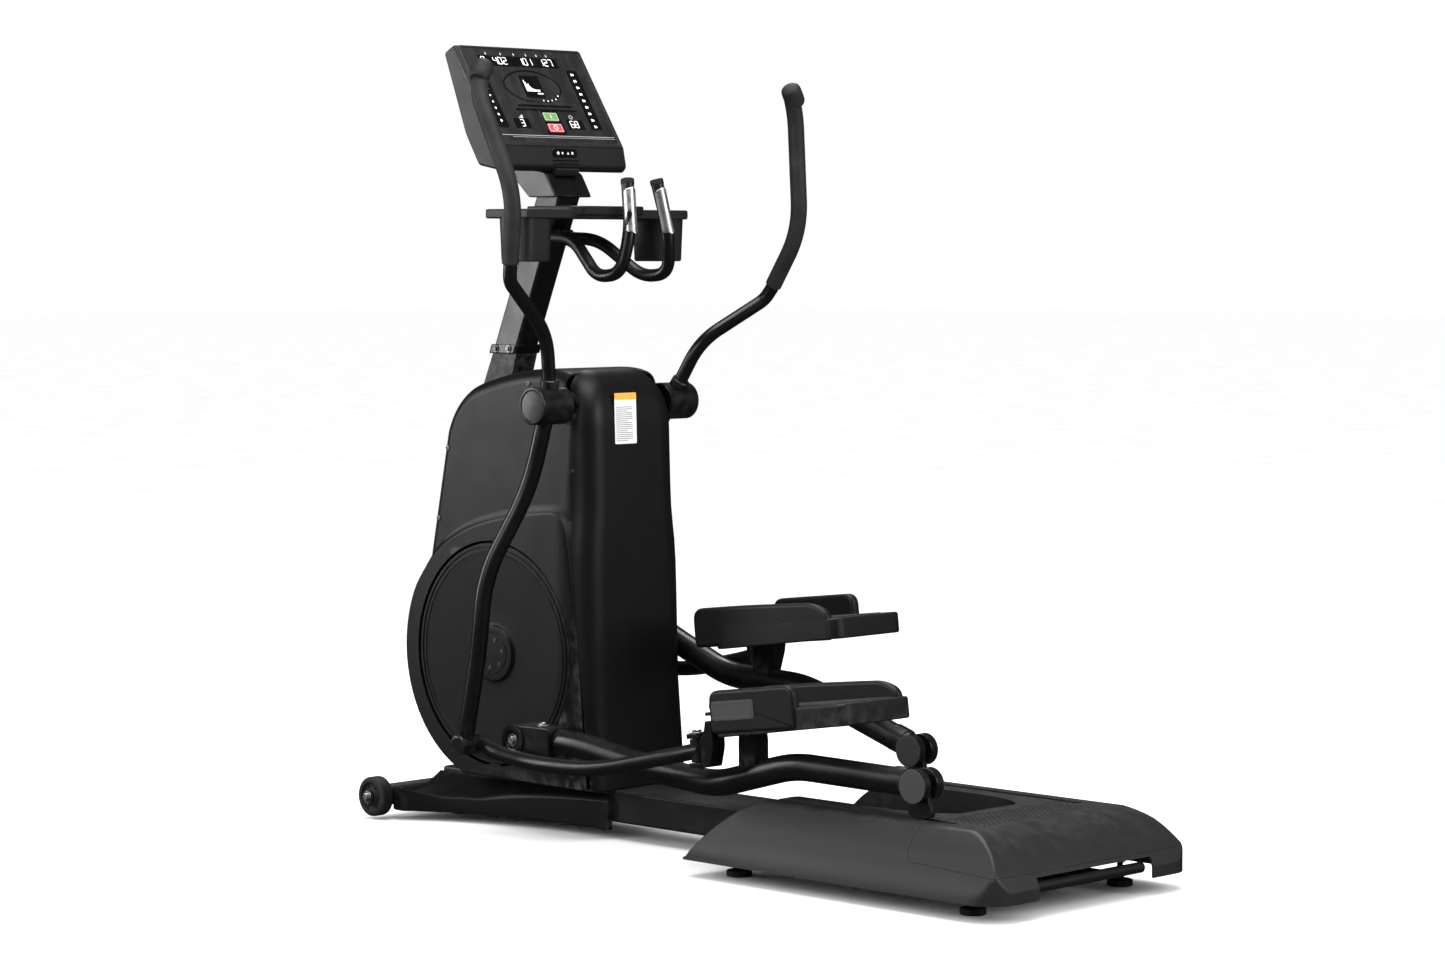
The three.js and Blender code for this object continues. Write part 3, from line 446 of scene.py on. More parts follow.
def orange_peel():
    """The slightly dimpled skin of a sprayed and baked coat."""
    tree, given, out = new_group("Orange Peel", (("Scale", 420.0), ("Dust Nibs", 0.3)), ("Height", "Gloss"))
    place = node(tree, "ShaderNodeTexCoord").outputs["Object"]
    skin = noise(tree, given.outputs["Scale"], 1, place)
    nib = between(tree, noise(tree, 160.0, 4, place), 0.68, 0.75)
    raised = math_node(tree, "MULTIPLY", nib, given.outputs["Dust Nibs"])
    tree.links.new(math_node(tree, "ADD", skin, raised), out.inputs["Height"])
    tree.links.new(noise(tree, 6.0, 3, place), out.inputs["Gloss"])
    return tree


def wear_and_highlight_group():
    """Where hands, shoes and cloths have been: rubbed edges, smudges and settled dust. The lightened edges are also
    a painted edge highlight.
    """
    tree, given, out = new_group(
        "Wear And Edge Highlight", (("Edge Rub", 0.5), ("Smudge", 0.5), ("Dust", 0.4)), ("Rub And Highlight", "Smudge", "Dust")
    )
    coords = node(tree, "ShaderNodeTexCoord")
    place = coords.outputs["Object"]
    point = node(tree, "ShaderNodeNewGeometry").outputs["Pointiness"]
    patchy = between(tree, noise(tree, 45.0, 5, place), 0.42, 0.62)
    # Rounded edges lightened: partly rubbed wear, partly a painted edge highlight.
    edge = between(tree, point, 0.54, 0.66)
    edge_rub_and_highlight = math_node(tree, "MULTIPLY", math_node(tree, "MULTIPLY", edge, patchy), given.outputs["Edge Rub"])
    tree.links.new(edge_rub_and_highlight, out.inputs["Rub And Highlight"])
    stretched = node(tree, "ShaderNodeMapping")
    stretched.inputs["Rotation"].default_value = (0.4, 0.9, 0.3)
    stretched.inputs["Scale"].default_value = (1.0, 2.6, 1.0)
    tree.links.new(place, stretched.inputs["Vector"])
    wiped = between(tree, noise(tree, 14.0, 6, stretched.outputs["Vector"], 0.62), 0.45, 0.7)
    tree.links.new(math_node(tree, "MULTIPLY", wiped, given.outputs["Smudge"]), out.inputs["Smudge"])
    facing = node(tree, "ShaderNodeSeparateXYZ")
    tree.links.new(coords.outputs["Normal"], facing.inputs["Vector"])
    upward = between(tree, facing.outputs["Z"], 0.55, 0.98)
    settled = between(tree, noise(tree, 30.0, 5, place), 0.35, 0.75, 0.25, 1.0)
    dust = math_node(tree, "MULTIPLY", math_node(tree, "MULTIPLY", upward, settled), given.outputs["Dust"])
    tree.links.new(dust, out.inputs["Dust"])
    return tree


def foam_pores():
    """Closed-cell foam: fine pores with a few larger ones."""
    tree, given, out = new_group("Foam Pores", (("Scale", 1400.0),), ("Height", "Tone"))
    place = node(tree, "ShaderNodeTexCoord").outputs["Object"]
    cells = node(tree, "ShaderNodeTexVoronoi", feature="F1")
    tree.links.new(given.outputs["Scale"], cells.inputs["Scale"])
    tree.links.new(place, cells.inputs["Vector"])
    coarse = between(tree, noise(tree, 260.0, 3, place), 0.3, 0.7)
    tree.links.new(math_node(tree, "ADD", cells.outputs["Distance"], coarse), out.inputs["Height"])
    tree.links.new(noise(tree, 18.0, 4, place), out.inputs["Tone"])
    return tree


def machined_lines():
    """Fine turning or rolling marks, with light corrosion bloom."""
    tree, given, out = new_group(
        "Machined Lines", (("Across", 700.0), ("Along", 30.0)), ("Height", "Bloom"),
    )
    place = node(tree, "ShaderNodeTexCoord").outputs["Object"]
    drawn = node(tree, "ShaderNodeMapping")
    scale = node(tree, "ShaderNodeCombineXYZ")
    for label, source in (("X", "Along"), ("Y", "Across"), ("Z", "Along")):
        tree.links.new(given.outputs[source], scale.inputs[label])
    tree.links.new(scale.outputs["Vector"], drawn.inputs["Scale"])
    tree.links.new(place, drawn.inputs["Vector"])
    tree.links.new(noise(tree, 1.0, 2, drawn.outputs["Vector"]), out.inputs["Height"])
    tree.links.new(between(tree, noise(tree, 55.0, 6, place), 0.45, 0.8), out.inputs["Bloom"])
    return tree


GRAIN, PEEL, WEAR_AND_HIGHLIGHT = moulded_grain(), orange_peel(), wear_and_highlight_group()
PORES, LINES = foam_pores(), machined_lines()


# ---- Materials ----
def blank_material(name):
    material = bpy.data.materials.new(name)
    material.use_nodes = True
    return material, material.node_tree, material.node_tree.nodes["Principled BSDF"]


def use(tree, group, **values):
    """Places a shared group in a material, with its own values."""
    placed = tree.nodes.new("ShaderNodeGroup")
    placed.node_tree = group
    for label, value in values.items():
        placed.inputs[label.replace("_", " ")].default_value = value
    return placed


def mixed(tree, factor, base, over):
    """Base colour showing through to over where factor is high."""
    mix = node(tree, "ShaderNodeMix", data_type="RGBA")
    for label, value in (("A", base), ("B", over)):
        socket = next(s for s in mix.inputs if s.name == label and s.type == "RGBA")
        if isinstance(value, tuple):
            socket.default_value = (*value, 1.0)
        else:
            tree.links.new(value, socket)
    tree.links.new(factor, mix.inputs[0])
    return next(s for s in mix.outputs if s.type == "RGBA")


def bumped(tree, bsdf, height, distance, strength=1.0):
    bump = node(tree, "ShaderNodeBump")
    bump.inputs["Distance"].default_value = distance * MM
    bump.inputs["Strength"].default_value = strength
    tree.links.new(height, bump.inputs["Height"])
    tree.links.new(bump.outputs["Normal"], bsdf.inputs["Normal"])


DUST_TONE = (0.16, 0.155, 0.15)
# Edge tone: partly rubbed wear, partly a painted edge highlight.
RUB_AND_HIGHLIGHT_TONE = (0.07, 0.07, 0.072)


def moulded_plastic(name, tone, rough, grain, depth, dust, edge_rub_and_highlight=0.5, smudge=0.5, specular=0.35):
    """Grained plastic: tone is its dark colour, grain the pits per metre, depth in mm."""
    material, tree, bsdf = blank_material(name)
    grained = use(tree, GRAIN, Scale=grain, Waviness=0.25)
    wear_and_highlight = use(tree, WEAR_AND_HIGHLIGHT, Edge_Rub=edge_rub_and_highlight, Smudge=smudge, Dust=dust)
    lighter = tuple(1.6 * c for c in tone)
    base = mixed(tree, between(tree, grained.outputs["Fleck"], 0.4, 0.7), tone, lighter)
    # Edges lightened: partly rubbed wear, partly a painted edge highlight.
    base = mixed(tree, wear_and_highlight.outputs["Rub And Highlight"], base, RUB_AND_HIGHLIGHT_TONE)
    base = mixed(tree, wear_and_highlight.outputs["Dust"], base, DUST_TONE)
    tree.links.new(base, bsdf.inputs["Base Color"])
    uneven = between(tree, wear_and_highlight.outputs["Smudge"], 0.0, 1.0, rough, rough - 0.09)
    dulled = math_node(tree, "MULTIPLY", wear_and_highlight.outputs["Dust"], 0.3)
    tree.links.new(math_node(tree, "ADD", uneven, dulled, clamp=True), bsdf.inputs["Roughness"])
    bsdf.inputs["Specular IOR Level"].default_value = specular
    bumped(tree, bsdf, grained.outputs["Height"], depth)
    return material


def powder_coat(name, tone, rough, peel=420.0, depth=0.05, dust=0.25):
    """Satin powder coat on steel."""
    material, tree, bsdf = blank_material(name)
    skin = use(tree, PEEL, Scale=peel, Dust_Nibs=0.25)
    wear_and_highlight = use(tree, WEAR_AND_HIGHLIGHT, Edge_Rub=0.6, Smudge=0.6, Dust=dust)
    lighter = tuple(1.5 * c for c in tone)
    base = mixed(tree, skin.outputs["Gloss"], tone, lighter)
    # Edges lightened: partly rubbed wear, partly a painted edge highlight.
    base = mixed(tree, wear_and_highlight.outputs["Rub And Highlight"], base, RUB_AND_HIGHLIGHT_TONE)
    base = mixed(tree, wear_and_highlight.outputs["Dust"], base, DUST_TONE)
    tree.links.new(base, bsdf.inputs["Base Color"])
    uneven = between(tree, skin.outputs["Gloss"], 0.3, 0.7, rough - 0.05, rough + 0.06)
    wiped = math_node(tree, "MULTIPLY", wear_and_highlight.outputs["Smudge"], 0.08)
    tree.links.new(math_node(tree, "ADD", uneven, wiped, clamp=True), bsdf.inputs["Roughness"])
    bsdf.inputs["Specular IOR Level"].default_value = 0.4
    bumped(tree, bsdf, skin.outputs["Height"], depth)
    return material


def soft_rubber(name, tone, rough, scale, depth, dust):
    """Matte rubber or foam with pores and a slight bloom."""
    material, tree, bsdf = blank_material(name)
    pores = use(tree, PORES, Scale=scale)
    wear_and_highlight = use(tree, WEAR_AND_HIGHLIGHT, Edge_Rub=0.4, Smudge=0.5, Dust=dust)
    lighter = tuple(1.8 * c for c in tone)
    base = mixed(tree, between(tree, pores.outputs["Tone"], 0.35, 0.7), tone, lighter)
    base = mixed(tree, wear_and_highlight.outputs["Dust"], base, DUST_TONE)
    tree.links.new(base, bsdf.inputs["Base Color"])
    shiny = between(tree, wear_and_highlight.outputs["Smudge"], 0.0, 0.5, rough, rough - 0.12)
    tree.links.new(shiny, bsdf.inputs["Roughness"])
    bsdf.inputs["Specular IOR Level"].default_value = 0.3
    bumped(tree, bsdf, pores.outputs["Height"], depth)
    return material


def bare_metal(name, tone, bloom_tone, rough, across=700.0, depth=0.02):
    """Plated or oiled steel with machining marks."""
    material, tree, bsdf = blank_material(name)
    lines = use(tree, LINES, Across=across, Along=30.0)
    wear_and_highlight = use(tree, WEAR_AND_HIGHLIGHT, Edge_Rub=0.3, Smudge=0.6, Dust=0.2)
    base = mixed(tree, lines.outputs["Bloom"], tone, bloom_tone)
    tree.links.new(base, bsdf.inputs["Base Color"])
    uneven = between(tree, lines.outputs["Bloom"], 0.0, 1.0, rough, rough + 0.2)
    wiped = math_node(tree, "MULTIPLY", wear_and_highlight.outputs["Smudge"], 0.1)
    tree.links.new(math_node(tree, "ADD", uneven, wiped, clamp=True), bsdf.inputs["Roughness"])
    bsdf.inputs["Metallic"].default_value = 1.0
    bumped(tree, bsdf, lines.outputs["Height"], depth)
    return material


def printed(name, tone, rough, glow=0.0):
    """Screen-printed ink or a lit segment behind film, with a slightly uneven edge tone."""
    material, tree, bsdf = blank_material(name)
    speck = use(tree, PORES, Scale=2500.0)
    wear_and_highlight = use(tree, WEAR_AND_HIGHLIGHT, Edge_Rub=0.2, Smudge=0.4, Dust=0.1)
    dimmer = tuple(0.86 * c for c in tone)
    base = mixed(tree, speck.outputs["Tone"], tone, dimmer)
    tree.links.new(base, bsdf.inputs["Base Color"])
    tree.links.new(
        between(tree, wear_and_highlight.outputs["Smudge"], 0.0, 0.4, rough, rough - 0.1), bsdf.inputs["Roughness"],
    )
    bumped(tree, bsdf, speck.outputs["Height"], 0.01)
    if glow:
        tree.links.new(base, bsdf.inputs["Emission Color"])
        bsdf.inputs["Emission Strength"].default_value = glow
    return material


def overlay_film(name, tone, rough):
    """The console's face film: fine texture, wiped smudges and hairline scratches."""
    material, tree, bsdf = blank_material(name)
    grained = use(tree, GRAIN, Scale=2600.0, Waviness=0.1)
    wear_and_highlight = use(tree, WEAR_AND_HIGHLIGHT, Edge_Rub=0.3, Smudge=1.0, Dust=0.15)
    lines = use(tree, LINES, Across=2400.0, Along=12.0)
    base = mixed(tree, wear_and_highlight.outputs["Smudge"], tone, tuple(1.5 * c for c in tone))
    base = mixed(tree, wear_and_highlight.outputs["Dust"], base, DUST_TONE)
    tree.links.new(base, bsdf.inputs["Base Color"])
    uneven = between(tree, wear_and_highlight.outputs["Smudge"], 0.0, 1.0, rough, rough + 0.14)
    scratch = between(tree, lines.outputs["Height"], 0.68, 0.74, 0.0, 0.08)
    tree.links.new(math_node(tree, "ADD", uneven, scratch, clamp=True), bsdf.inputs["Roughness"])
    bsdf.inputs["Specular IOR Level"].default_value = 0.45
    bumped(tree, bsdf, grained.outputs["Height"], 0.012)
    return material


SHELL = moulded_plastic("shell_plastic", (0.0030, 0.0030, 0.0032), 0.42, 1500.0, 0.03, 0.03, specular=0.24)
DISC = moulded_plastic("disc_plastic", (0.0026, 0.0026, 0.0028), 0.40, 1700.0, 0.025, 0.02, specular=0.22)
COVER = moulded_plastic("cover_plastic", (0.0092, 0.0092, 0.0099), 0.48, 1100.0, 0.05, 0.12)
PEDAL = moulded_plastic(
    "pedal_plastic", (0.0038, 0.0038, 0.0041), 0.46, 1200.0, 0.05, 0.08, edge_rub_and_highlight=0.9, specular=0.28,
)
CONSOLE = moulded_plastic(
    "console_plastic", (0.0070, 0.0070, 0.0076), 0.44, 1400.0, 0.04, 0.05, specular=0.28,
)
COAT = powder_coat("powder_coat", (0.0022, 0.0022, 0.0024), 0.30, dust=0.06)
COAT_BASE = powder_coat(
    "powder_coat_base", (0.0040, 0.0040, 0.0043), 0.42, peel=320.0, depth=0.07, dust=0.15,
)
CAP = moulded_plastic("tube_cap_plastic", (0.024, 0.024, 0.0255), 0.50, 1300.0, 0.04, 0.1)
RUBBER = soft_rubber("tyre_rubber", (0.0060, 0.0060, 0.0063), 0.66, 900.0, 0.05, 0.1)
TREAD = soft_rubber("tread_rubber", (0.0075, 0.0075, 0.0078), 0.70, 700.0, 0.08, 0.15)
FOAM = soft_rubber("grip_foam", (0.0085, 0.0085, 0.009), 0.64, 1500.0, 0.10, 0.05)
BRIGHT = bare_metal("zinc_plate", (0.62, 0.62, 0.63), (0.42, 0.42, 0.41), 0.24)
STEEL = bare_metal("oiled_steel", (0.16, 0.16, 0.165), (0.07, 0.06, 0.05), 0.36, 500.0, 0.04)
CONTACT = bare_metal("contact_plate", (0.66, 0.66, 0.67), (0.52, 0.52, 0.53), 0.34, 1500.0, 0.01)
FILM = overlay_film("overlay_film", (0.0075, 0.0075, 0.008), 0.34)
WINDOW = overlay_film("display_window", (0.0025, 0.0025, 0.0027), 0.16)
WHITE = printed("white_print", (0.60, 0.61, 0.62), 0.5)
SILVER = printed("silver_print", (0.30, 0.30, 0.31), 0.4)
LIT = printed("lit_segment", (0.82, 0.84, 0.80), 0.4, glow=0.9)
GREEN = printed("green_key", (0.10, 0.22, 0.05), 0.5, glow=0.12)
RED = printed("red_key", (0.42, 0.035, 0.045), 0.5, glow=0.12)
AMBER = printed("amber_band", (0.80, 0.33, 0.03), 0.55)
PAPER = printed("sticker_paper", (0.62, 0.62, 0.62), 0.6)
INK = printed("sticker_ink", (0.16, 0.16, 0.16), 0.6)


# ---- Drive housing: two side shells and the rear shroud ----
WALL = 4.5
UPPER_HALF, LOBE_HALF = 150, 163
LOBE_X, LOBE_Z, LOBE_RADIUS = -674, 417, 320
HOUSING_FLOOR = 118
DISC_OPENING, HUB_HOLE = 269, 36
SEAM_X, SEAM_Z, SEAM_LEAN = -385, 470, -0.088
BROW = 26


def curve(start, a, b, end, steps=12):
    """A cubic curve's points after its start."""
    out = []
    for i in range(1, steps + 1):
        t = i / steps
        u = 1 - t
        weights = (u**3, 3 * u * u * t, 3 * u * t * t, t**3)
        out.append(sum((Vector(p) * w for p, w in zip((start, a, b, end), weights)), Vector((0, 0))))
    return out


def seam_x(z):
    """Where the shroud meets the side shells, at a height."""
    return SEAM_X + (z - SEAM_Z) * math.tan(SEAM_LEAN)


def upper_outline():
    points = [Vector(p) for p in ((-900, 500), (-345, 500), (-368, 990))]
    points += curve((-368, 990), (-370, 1052), (-410, 1096), (-500, 1097))
    points += curve((-500, 1097), (-590, 1098), (-670, 1080), (-752, 1056))
    points += curve((-752, 1056), (-800, 1040), (-842, 1000), (-863, 943))
    return points + [Vector((-935, 600))]


def lobe_outline():
    """The raised lobe round the disc, from the seam's foot over the brow and round the front."""
    turn = math.radians(138)
    rim = (LOBE_X + LOBE_RADIUS * math.cos(turn), LOBE_Z + LOBE_RADIUS * math.sin(turn))
    top = seam_x(700)
    points = [
        Vector((-338, HOUSING_FLOOR)), Vector((-362, 400)), Vector((top + 14, 640)),
        Vector((top + 10, 700)),
    ]
    points += curve((top + 10, 700), (top + 6, 756), (top - 24, 784), (top - 70, 785), 10)
    points += curve((top - 70, 785), (-570, 779), (-680, 762), (-750, 738))
    points += curve((-750, 738), (-820, 712), (-875, 680), rim)
    floor_turn = 2 * math.pi - math.acos(-math.sqrt(1 - ((HOUSING_FLOOR - LOBE_Z) / LOBE_RADIUS) ** 2))
    for i in range(1, 33):
        angle = turn + (floor_turn - turn) * i / 32
        points.append(
            Vector((LOBE_X + LOBE_RADIUS * math.cos(angle), LOBE_Z + LOBE_RADIUS * math.sin(angle))),
        )
    return points


def brow_width(point):
    """The lobe's bevel: broad over the top, thinning down its two sides."""
    if point.x > -470:
        return 4 + (BROW - 4) * max(0.0, min(1.0, (point.y - 560) / 170))
    fade = max(0.0, min(1.0, (point.y - 560) / 190))
    return 7 + (BROW - 7) * fade


def lobe_block(inset):
    """The lobe with its brow: each outline point is drawn in by its own bevel width."""
    def draw(bm):
        outline = shrink(lobe_outline(), inset)
        area = sum(p.x * q.y - q.x * p.y for p, q in zip(outline, outline[1:] + outline[:1]))
        way = 1 if area > 0 else -1
        count = len(outline)
        inward = []
        for i, point in enumerate(outline):
            a, b = (point - outline[i - 1]).normalized(), (outline[(i + 1) % count] - point).normalized()
            inward.append(Vector((-(a.y + b.y), a.x + b.x)).normalized() * way)
        def drawn_in(share):
            return [p + n * brow_width(p) * share for p, n in zip(outline, inward)]
        outer, base = LOBE_HALF - inset, UPPER_HALF - 6
        levels = ((0.0, base), (0.05, base + 6), (0.82, outer - 1.6), (0.94, outer - 0.4), (1.1, outer))
        rings = [[Vector((p.x, -y, p.y)) for p in drawn_in(share)] for share, y in reversed(levels)]
        rings += [[Vector((p.x, y, p.y)) for p in drawn_in(share)] for share, y in levels]
        loft(bm, rings)
    return draw


def shroud_block(inset):
    """The rear column: flat sections stacked up, broad at the foot and domed at the top."""
    def draw(bm):
        rings = []
        levels = [HOUSING_FLOOR, 300, 500, 580, 640, 690, 730, 770, 820, 900, 960]
        levels += [960 + 137 * math.sin(math.pi / 2 * k / 10) for k in range(1, 11)]
        low = HOUSING_FLOOR - (10 if inset else 0)
        for z in levels:
            height = low if z == HOUSING_FLOOR else z - inset * max(0.0, (z - 960) / 137)
            swell = 1 / (1 + math.exp((z - 720) / 26))
            half = UPPER_HALF + (LOBE_HALF - UPPER_HALF) * swell
            rear = -338 - 24 * max(0.0, min(1.0, (z - HOUSING_FLOOR) / 842))
            dome = math.sqrt(max(0.0, 1 - (max(0.0, z - 960) / 137.4) ** 2))
            rear -= 92 * (1 - dome)
            half -= 58 * (1 - dome)
            corner = 62
            plan = [(-540, -half, 0), (rear, -half, corner), (rear, half, corner), (-540, half, 0)]
            rings.append([Vector((p.x, p.y, height)) for p in shrink(soft_outline(plan, 10), inset)])
        loft(bm, rings)
    return draw


def side_skin(name, inset):
    upper = shrink(upper_outline(), inset)
    skin = raw(name, lambda bm: slab_y(bm, upper, inset - UPPER_HALF, UPPER_HALF - inset, 34 - inset, 7))
    return combine(skin, raw(name + "_lobe", lobe_block(inset)), "UNION")


def housing_holes(bm):
    """What passes through the skins: the two discs and the arms' shaft."""
    bar_y(bm, DISC_OPENING, LOBE_X, -400, 400, LOBE_Z, sides=128)
    bar_y(bm, HUB_HOLE, ARM_X, -400, 400, ARM_Z, sides=48)


def cube_tool(name, centre, size):
    matrix = Matrix.Translation(centre) @ Matrix.Diagonal((*size, 1))
    return raw(name, lambda bm: bmesh.ops.create_cube(bm, size=1.0, matrix=matrix))


def behind_seam(name, shift=0.0):
    """Everything behind the seam plane, which leans forward as it rises."""
    tool = cube_tool(name, (500 + shift, 0, 0), (1000, 1000, 3000))
    tool.data.transform(
        Matrix.Translation((SEAM_X * MM, 0, SEAM_Z * MM)) @ Matrix.Rotation(SEAM_LEAN, 4, "Y"),
    )
    return tool


def housing():
    shell = combine(side_skin("housing", 0), side_skin("housing_inside", WALL), "DIFFERENCE")
    shell = combine(shell, raw("holes", housing_holes), "DIFFERENCE")
    shell = combine(
        shell, box_tool("mast_slot", -900, mast_x(1100) + 46, -39, 39, 935, 1130, 6), "DIFFERENCE",
    )
    shell = combine(shell, box_tool("post_slot", -860, -400, -140, 140, 60, 130, 6), "DIFFERENCE")
    shell = combine(shell, behind_seam("behind", -0.5), "DIFFERENCE")
    left = combine(
        copy_of(shell, "shell_moulding_left"), cube_tool("half", (0, -200, 0), (3000, 400, 3000)),
        "INTERSECT",
    )
    right = combine(shell, cube_tool("half", (0, 200, 0), (3000, 400, 3000)), "INTERSECT")
    right.name = "shell_moulding_right"
    shroud = combine(
        raw("shroud_moulding", shroud_block(0)), raw("shroud_inside", shroud_block(WALL)), "DIFFERENCE",
    )
    shroud = combine(
        shroud, raw("holes", lambda bm: bar_y(bm, HUB_HOLE, ARM_X, -400, 400, ARM_Z)), "DIFFERENCE",
    )
    shroud = combine(shroud, behind_seam("behind"), "INTERSECT")
    for piece, stands_for in (
        (shroud, "rear_shroud"), (left, "side_shell_left"), (right, "side_shell_right"),
    ):
        bevel_edges(piece, 1.1, 2, 50)
        dress(piece, "root", SHELL, (stands_for,), sharp=38)


def shell_screws(bm):
    """Drawn on the left: recessed-head screws near the shell's edge."""
    face = -UPPER_HALF
    for x, z in ((-846, 900), (-880, 730), (-560, 1062), (-412, 860)):
        turned_y(bm, [
            (0.5, face + 2), (7, face + 1.5), (7, face - 1.2), (5.8, face - 2.2), (2.6, face - 2.4),
            (2.2, face - 1.2),
            (0.4, face - 1.2),
        ], x, z, 24)


def shroud_rear_x(z):
    return -338 - 24 * (z - HOUSING_FLOOR) / 842


def label_band(y0, y1, z0, z1, lift):
    """A strip of sticker on the shroud's rear face, following its lean."""
    def draw(bm):
        plan = soft_outline([(y0, z0, 3), (y1, z0, 3), (y1, z1, 3), (y0, z1, 3)], 3)
        rings = []
        for out, drawn in ((-0.5, 0), (lift, 0), (lift + 0.15, 0.4)):
            rings.append([Vector((shroud_rear_x(p.y) + out, p.x, p.y)) for p in shrink(plan, drawn)])
        loft(bm, rings)
    return draw


def label_rules(bm):
    """Plain grey rules in place of any wording."""
    for k in range(18):
        z = 930 + 4.6 * k
        end = -2 if k % 5 else -18
        for y0, y1 in ((-55, end),):
            points = [(y0, z), (y1, z), (y1, z + 1.5), (y0, z + 1.5)]
            rings = [
                [Vector((shroud_rear_x(p[1]) + out, p[0], p[1])) for p in points]
                for out in (0.3, 0.75)
            ]
            loft(bm, rings)


housing()
for side, flip in SIDES:
    make("shell_screws_" + side, shell_screws, "root", STEEL, upright(flip))
make("label_sheet", label_band(-59, 11, 923, 1042, 0.4), "root", PAPER)
make("label_band", label_band(-59, 11, 1026, 1042, 0.65), "root", AMBER)
make("label_rules", label_rules, "root", INK)


# ---- Crank discs ----
def crank_disc(bm):
    """Drawn on the left: dished disc with a double rim groove and a hub cap, facing -Y."""
    face = -160
    profile = [
        (6, -148), (262.5, -148), (264, -149.5), (264, -158.5), (262.5, -160),
        (256, -160), (254.8, -157.6), (251.2, -157.6), (250, -160),
        (244, -160.0), (243, -158.4), (240, -158.4), (239, -160),
        (228, -159.4), (120, -156.6), (76, -156.4), (68, -157.6), (66.4, -161.5),
        (65, -163.4), (63, -164), (52, -164), (51, -162.6), (48, -162.6), (47, -164), (6, -164.4),
    ]
    turned_y(bm, profile, CRANK_X, CRANK_Z, 160)


def disc_screws(bm):
    """Six cap screws round the hub."""
    for k in range(6):
        turn = math.radians(60 * k + 15)
        x, z = CRANK_X + 34 * math.cos(turn), CRANK_Z + 34 * math.sin(turn)
        turned_y(
            bm,
            [(0.4, -162), (5, -162), (5, -165.4), (4.4, -166), (2.8, -166), (2.6, -164.8), (0.4, -164.8)],
            x, z, 20,
        )


def pin_stub(x, z):
    return lambda bm: bar_y(bm, 18, x, -159, -171.9, z, 1.2)


for side, flip in SIDES:
    pin = linkage(side)["pin"]
    make(
        "crank_disc_moulding_" + side, crank_disc, "crank_assembly", DISC, upright(flip),
        ("crank_disc_" + side,),
    )
    make("hub_screws_" + side, disc_screws, "crank_assembly", STEEL, upright(flip))
    make(
        "crank_pin_stub_" + side, pin_stub(pin.x, pin.y), "crank_assembly", STEEL,
        upright(flip),
    )


# ---- Floor frame ----
def square_bar(bm, x0, x1, y0, y1, z0, z1, corner=7):
    """A rolled box tube with round corners along its longest side."""
    if x1 - x0 > y1 - y0:
        slab_x(
            bm, soft_outline([(y0, z0, corner), (y1, z0, corner), (y1, z1, corner), (y0, z1, corner)]), x0,
            x1, 1.2, 2,
        )
    else:
        slab_y(
            bm, soft_outline([(x0, z0, corner), (x1, z0, corner), (x1, z1, corner), (x0, z1, corner)]), y0,
            y1, 1.2, 2,
        )


def weld_bead(bm, points, radius=3.4):
    """A weld: a rope of overlapping ripples along a line."""
    path = soften_path(points, 12, 4)
    length = sum((b - a).length for a, b in zip(path, path[1:]))
    count = max(6, int(length / 3.2))
    spots = []
    walked, step = 0.0, length / count
    for a, b in zip(path, path[1:]):
        span = (b - a).length
        while walked <= span and span > 0:
            spots.append(a + (b - a) * (walked / span))
            walked += step
        walked -= span
    for i, spot in enumerate(spots):
        bmesh.ops.create_icosphere(
            bm, subdivisions=1, radius=radius * (1.0 + 0.08 * math.sin(2.4 * i)),
            matrix=Matrix.Translation(spot),
        )


def main_beam(bm):
    square_bar(bm, -940, 930, -86, 86, 40, 115)


def beam_welds(bm):
    for x in (196, 246):
        for y in (-86, 86):
            side = 1 if y > 0 else -1
            weld_bead(bm, [(x, y + side * 1.0, 64), (x, y + side * 1.0, 96)], 2.6)


make("main_beam_tube", main_beam, "root", COAT_BASE, replaces=("main_beam",))
make(
    "crossbar_front_tube", lambda bm: square_bar(bm, 196, 246, -290, 290, 60, 100, 6), "root", COAT_BASE,
    replaces=("crossbar_front",),
)
make(
    "crossbar_rear_tube", lambda bm: square_bar(bm, 871, 921, -290, 290, 60, 100, 6), "root", COAT_BASE,
    replaces=("crossbar_rear",),
)
make("beam_weld_beads", beam_welds, "root", COAT_BASE)


def stabilizer(bm):
    """Cross tube with flanged spigots, on a square plate that bolts to the beam."""
    turned_y(bm, [
        (1, -295), (13.6, -295), (15, -293.6), (15, -288.4), (13.6, -287), (8.2, -287), (8.2, -248),
        (20, -246.5),
        (24.5, -246), (26, -244), (26, 244), (24.5, 246), (20, 246.5), (8.2, 248), (8.2, 287), (13.6, 287),
        (15, 288.4), (15, 293.6), (13.6, 295), (1, 295),
    ], -981, 55, 48)
    slab_x(bm, soft_outline([(-60, 41, 8), (60, 41, 8), (60, 95, 8), (-60, 95, 8)]), -965, -940.5, 1.5, 2)


make("front_stabilizer_tube", stabilizer, "root", COAT_BASE, replaces=("front_stabilizer",))


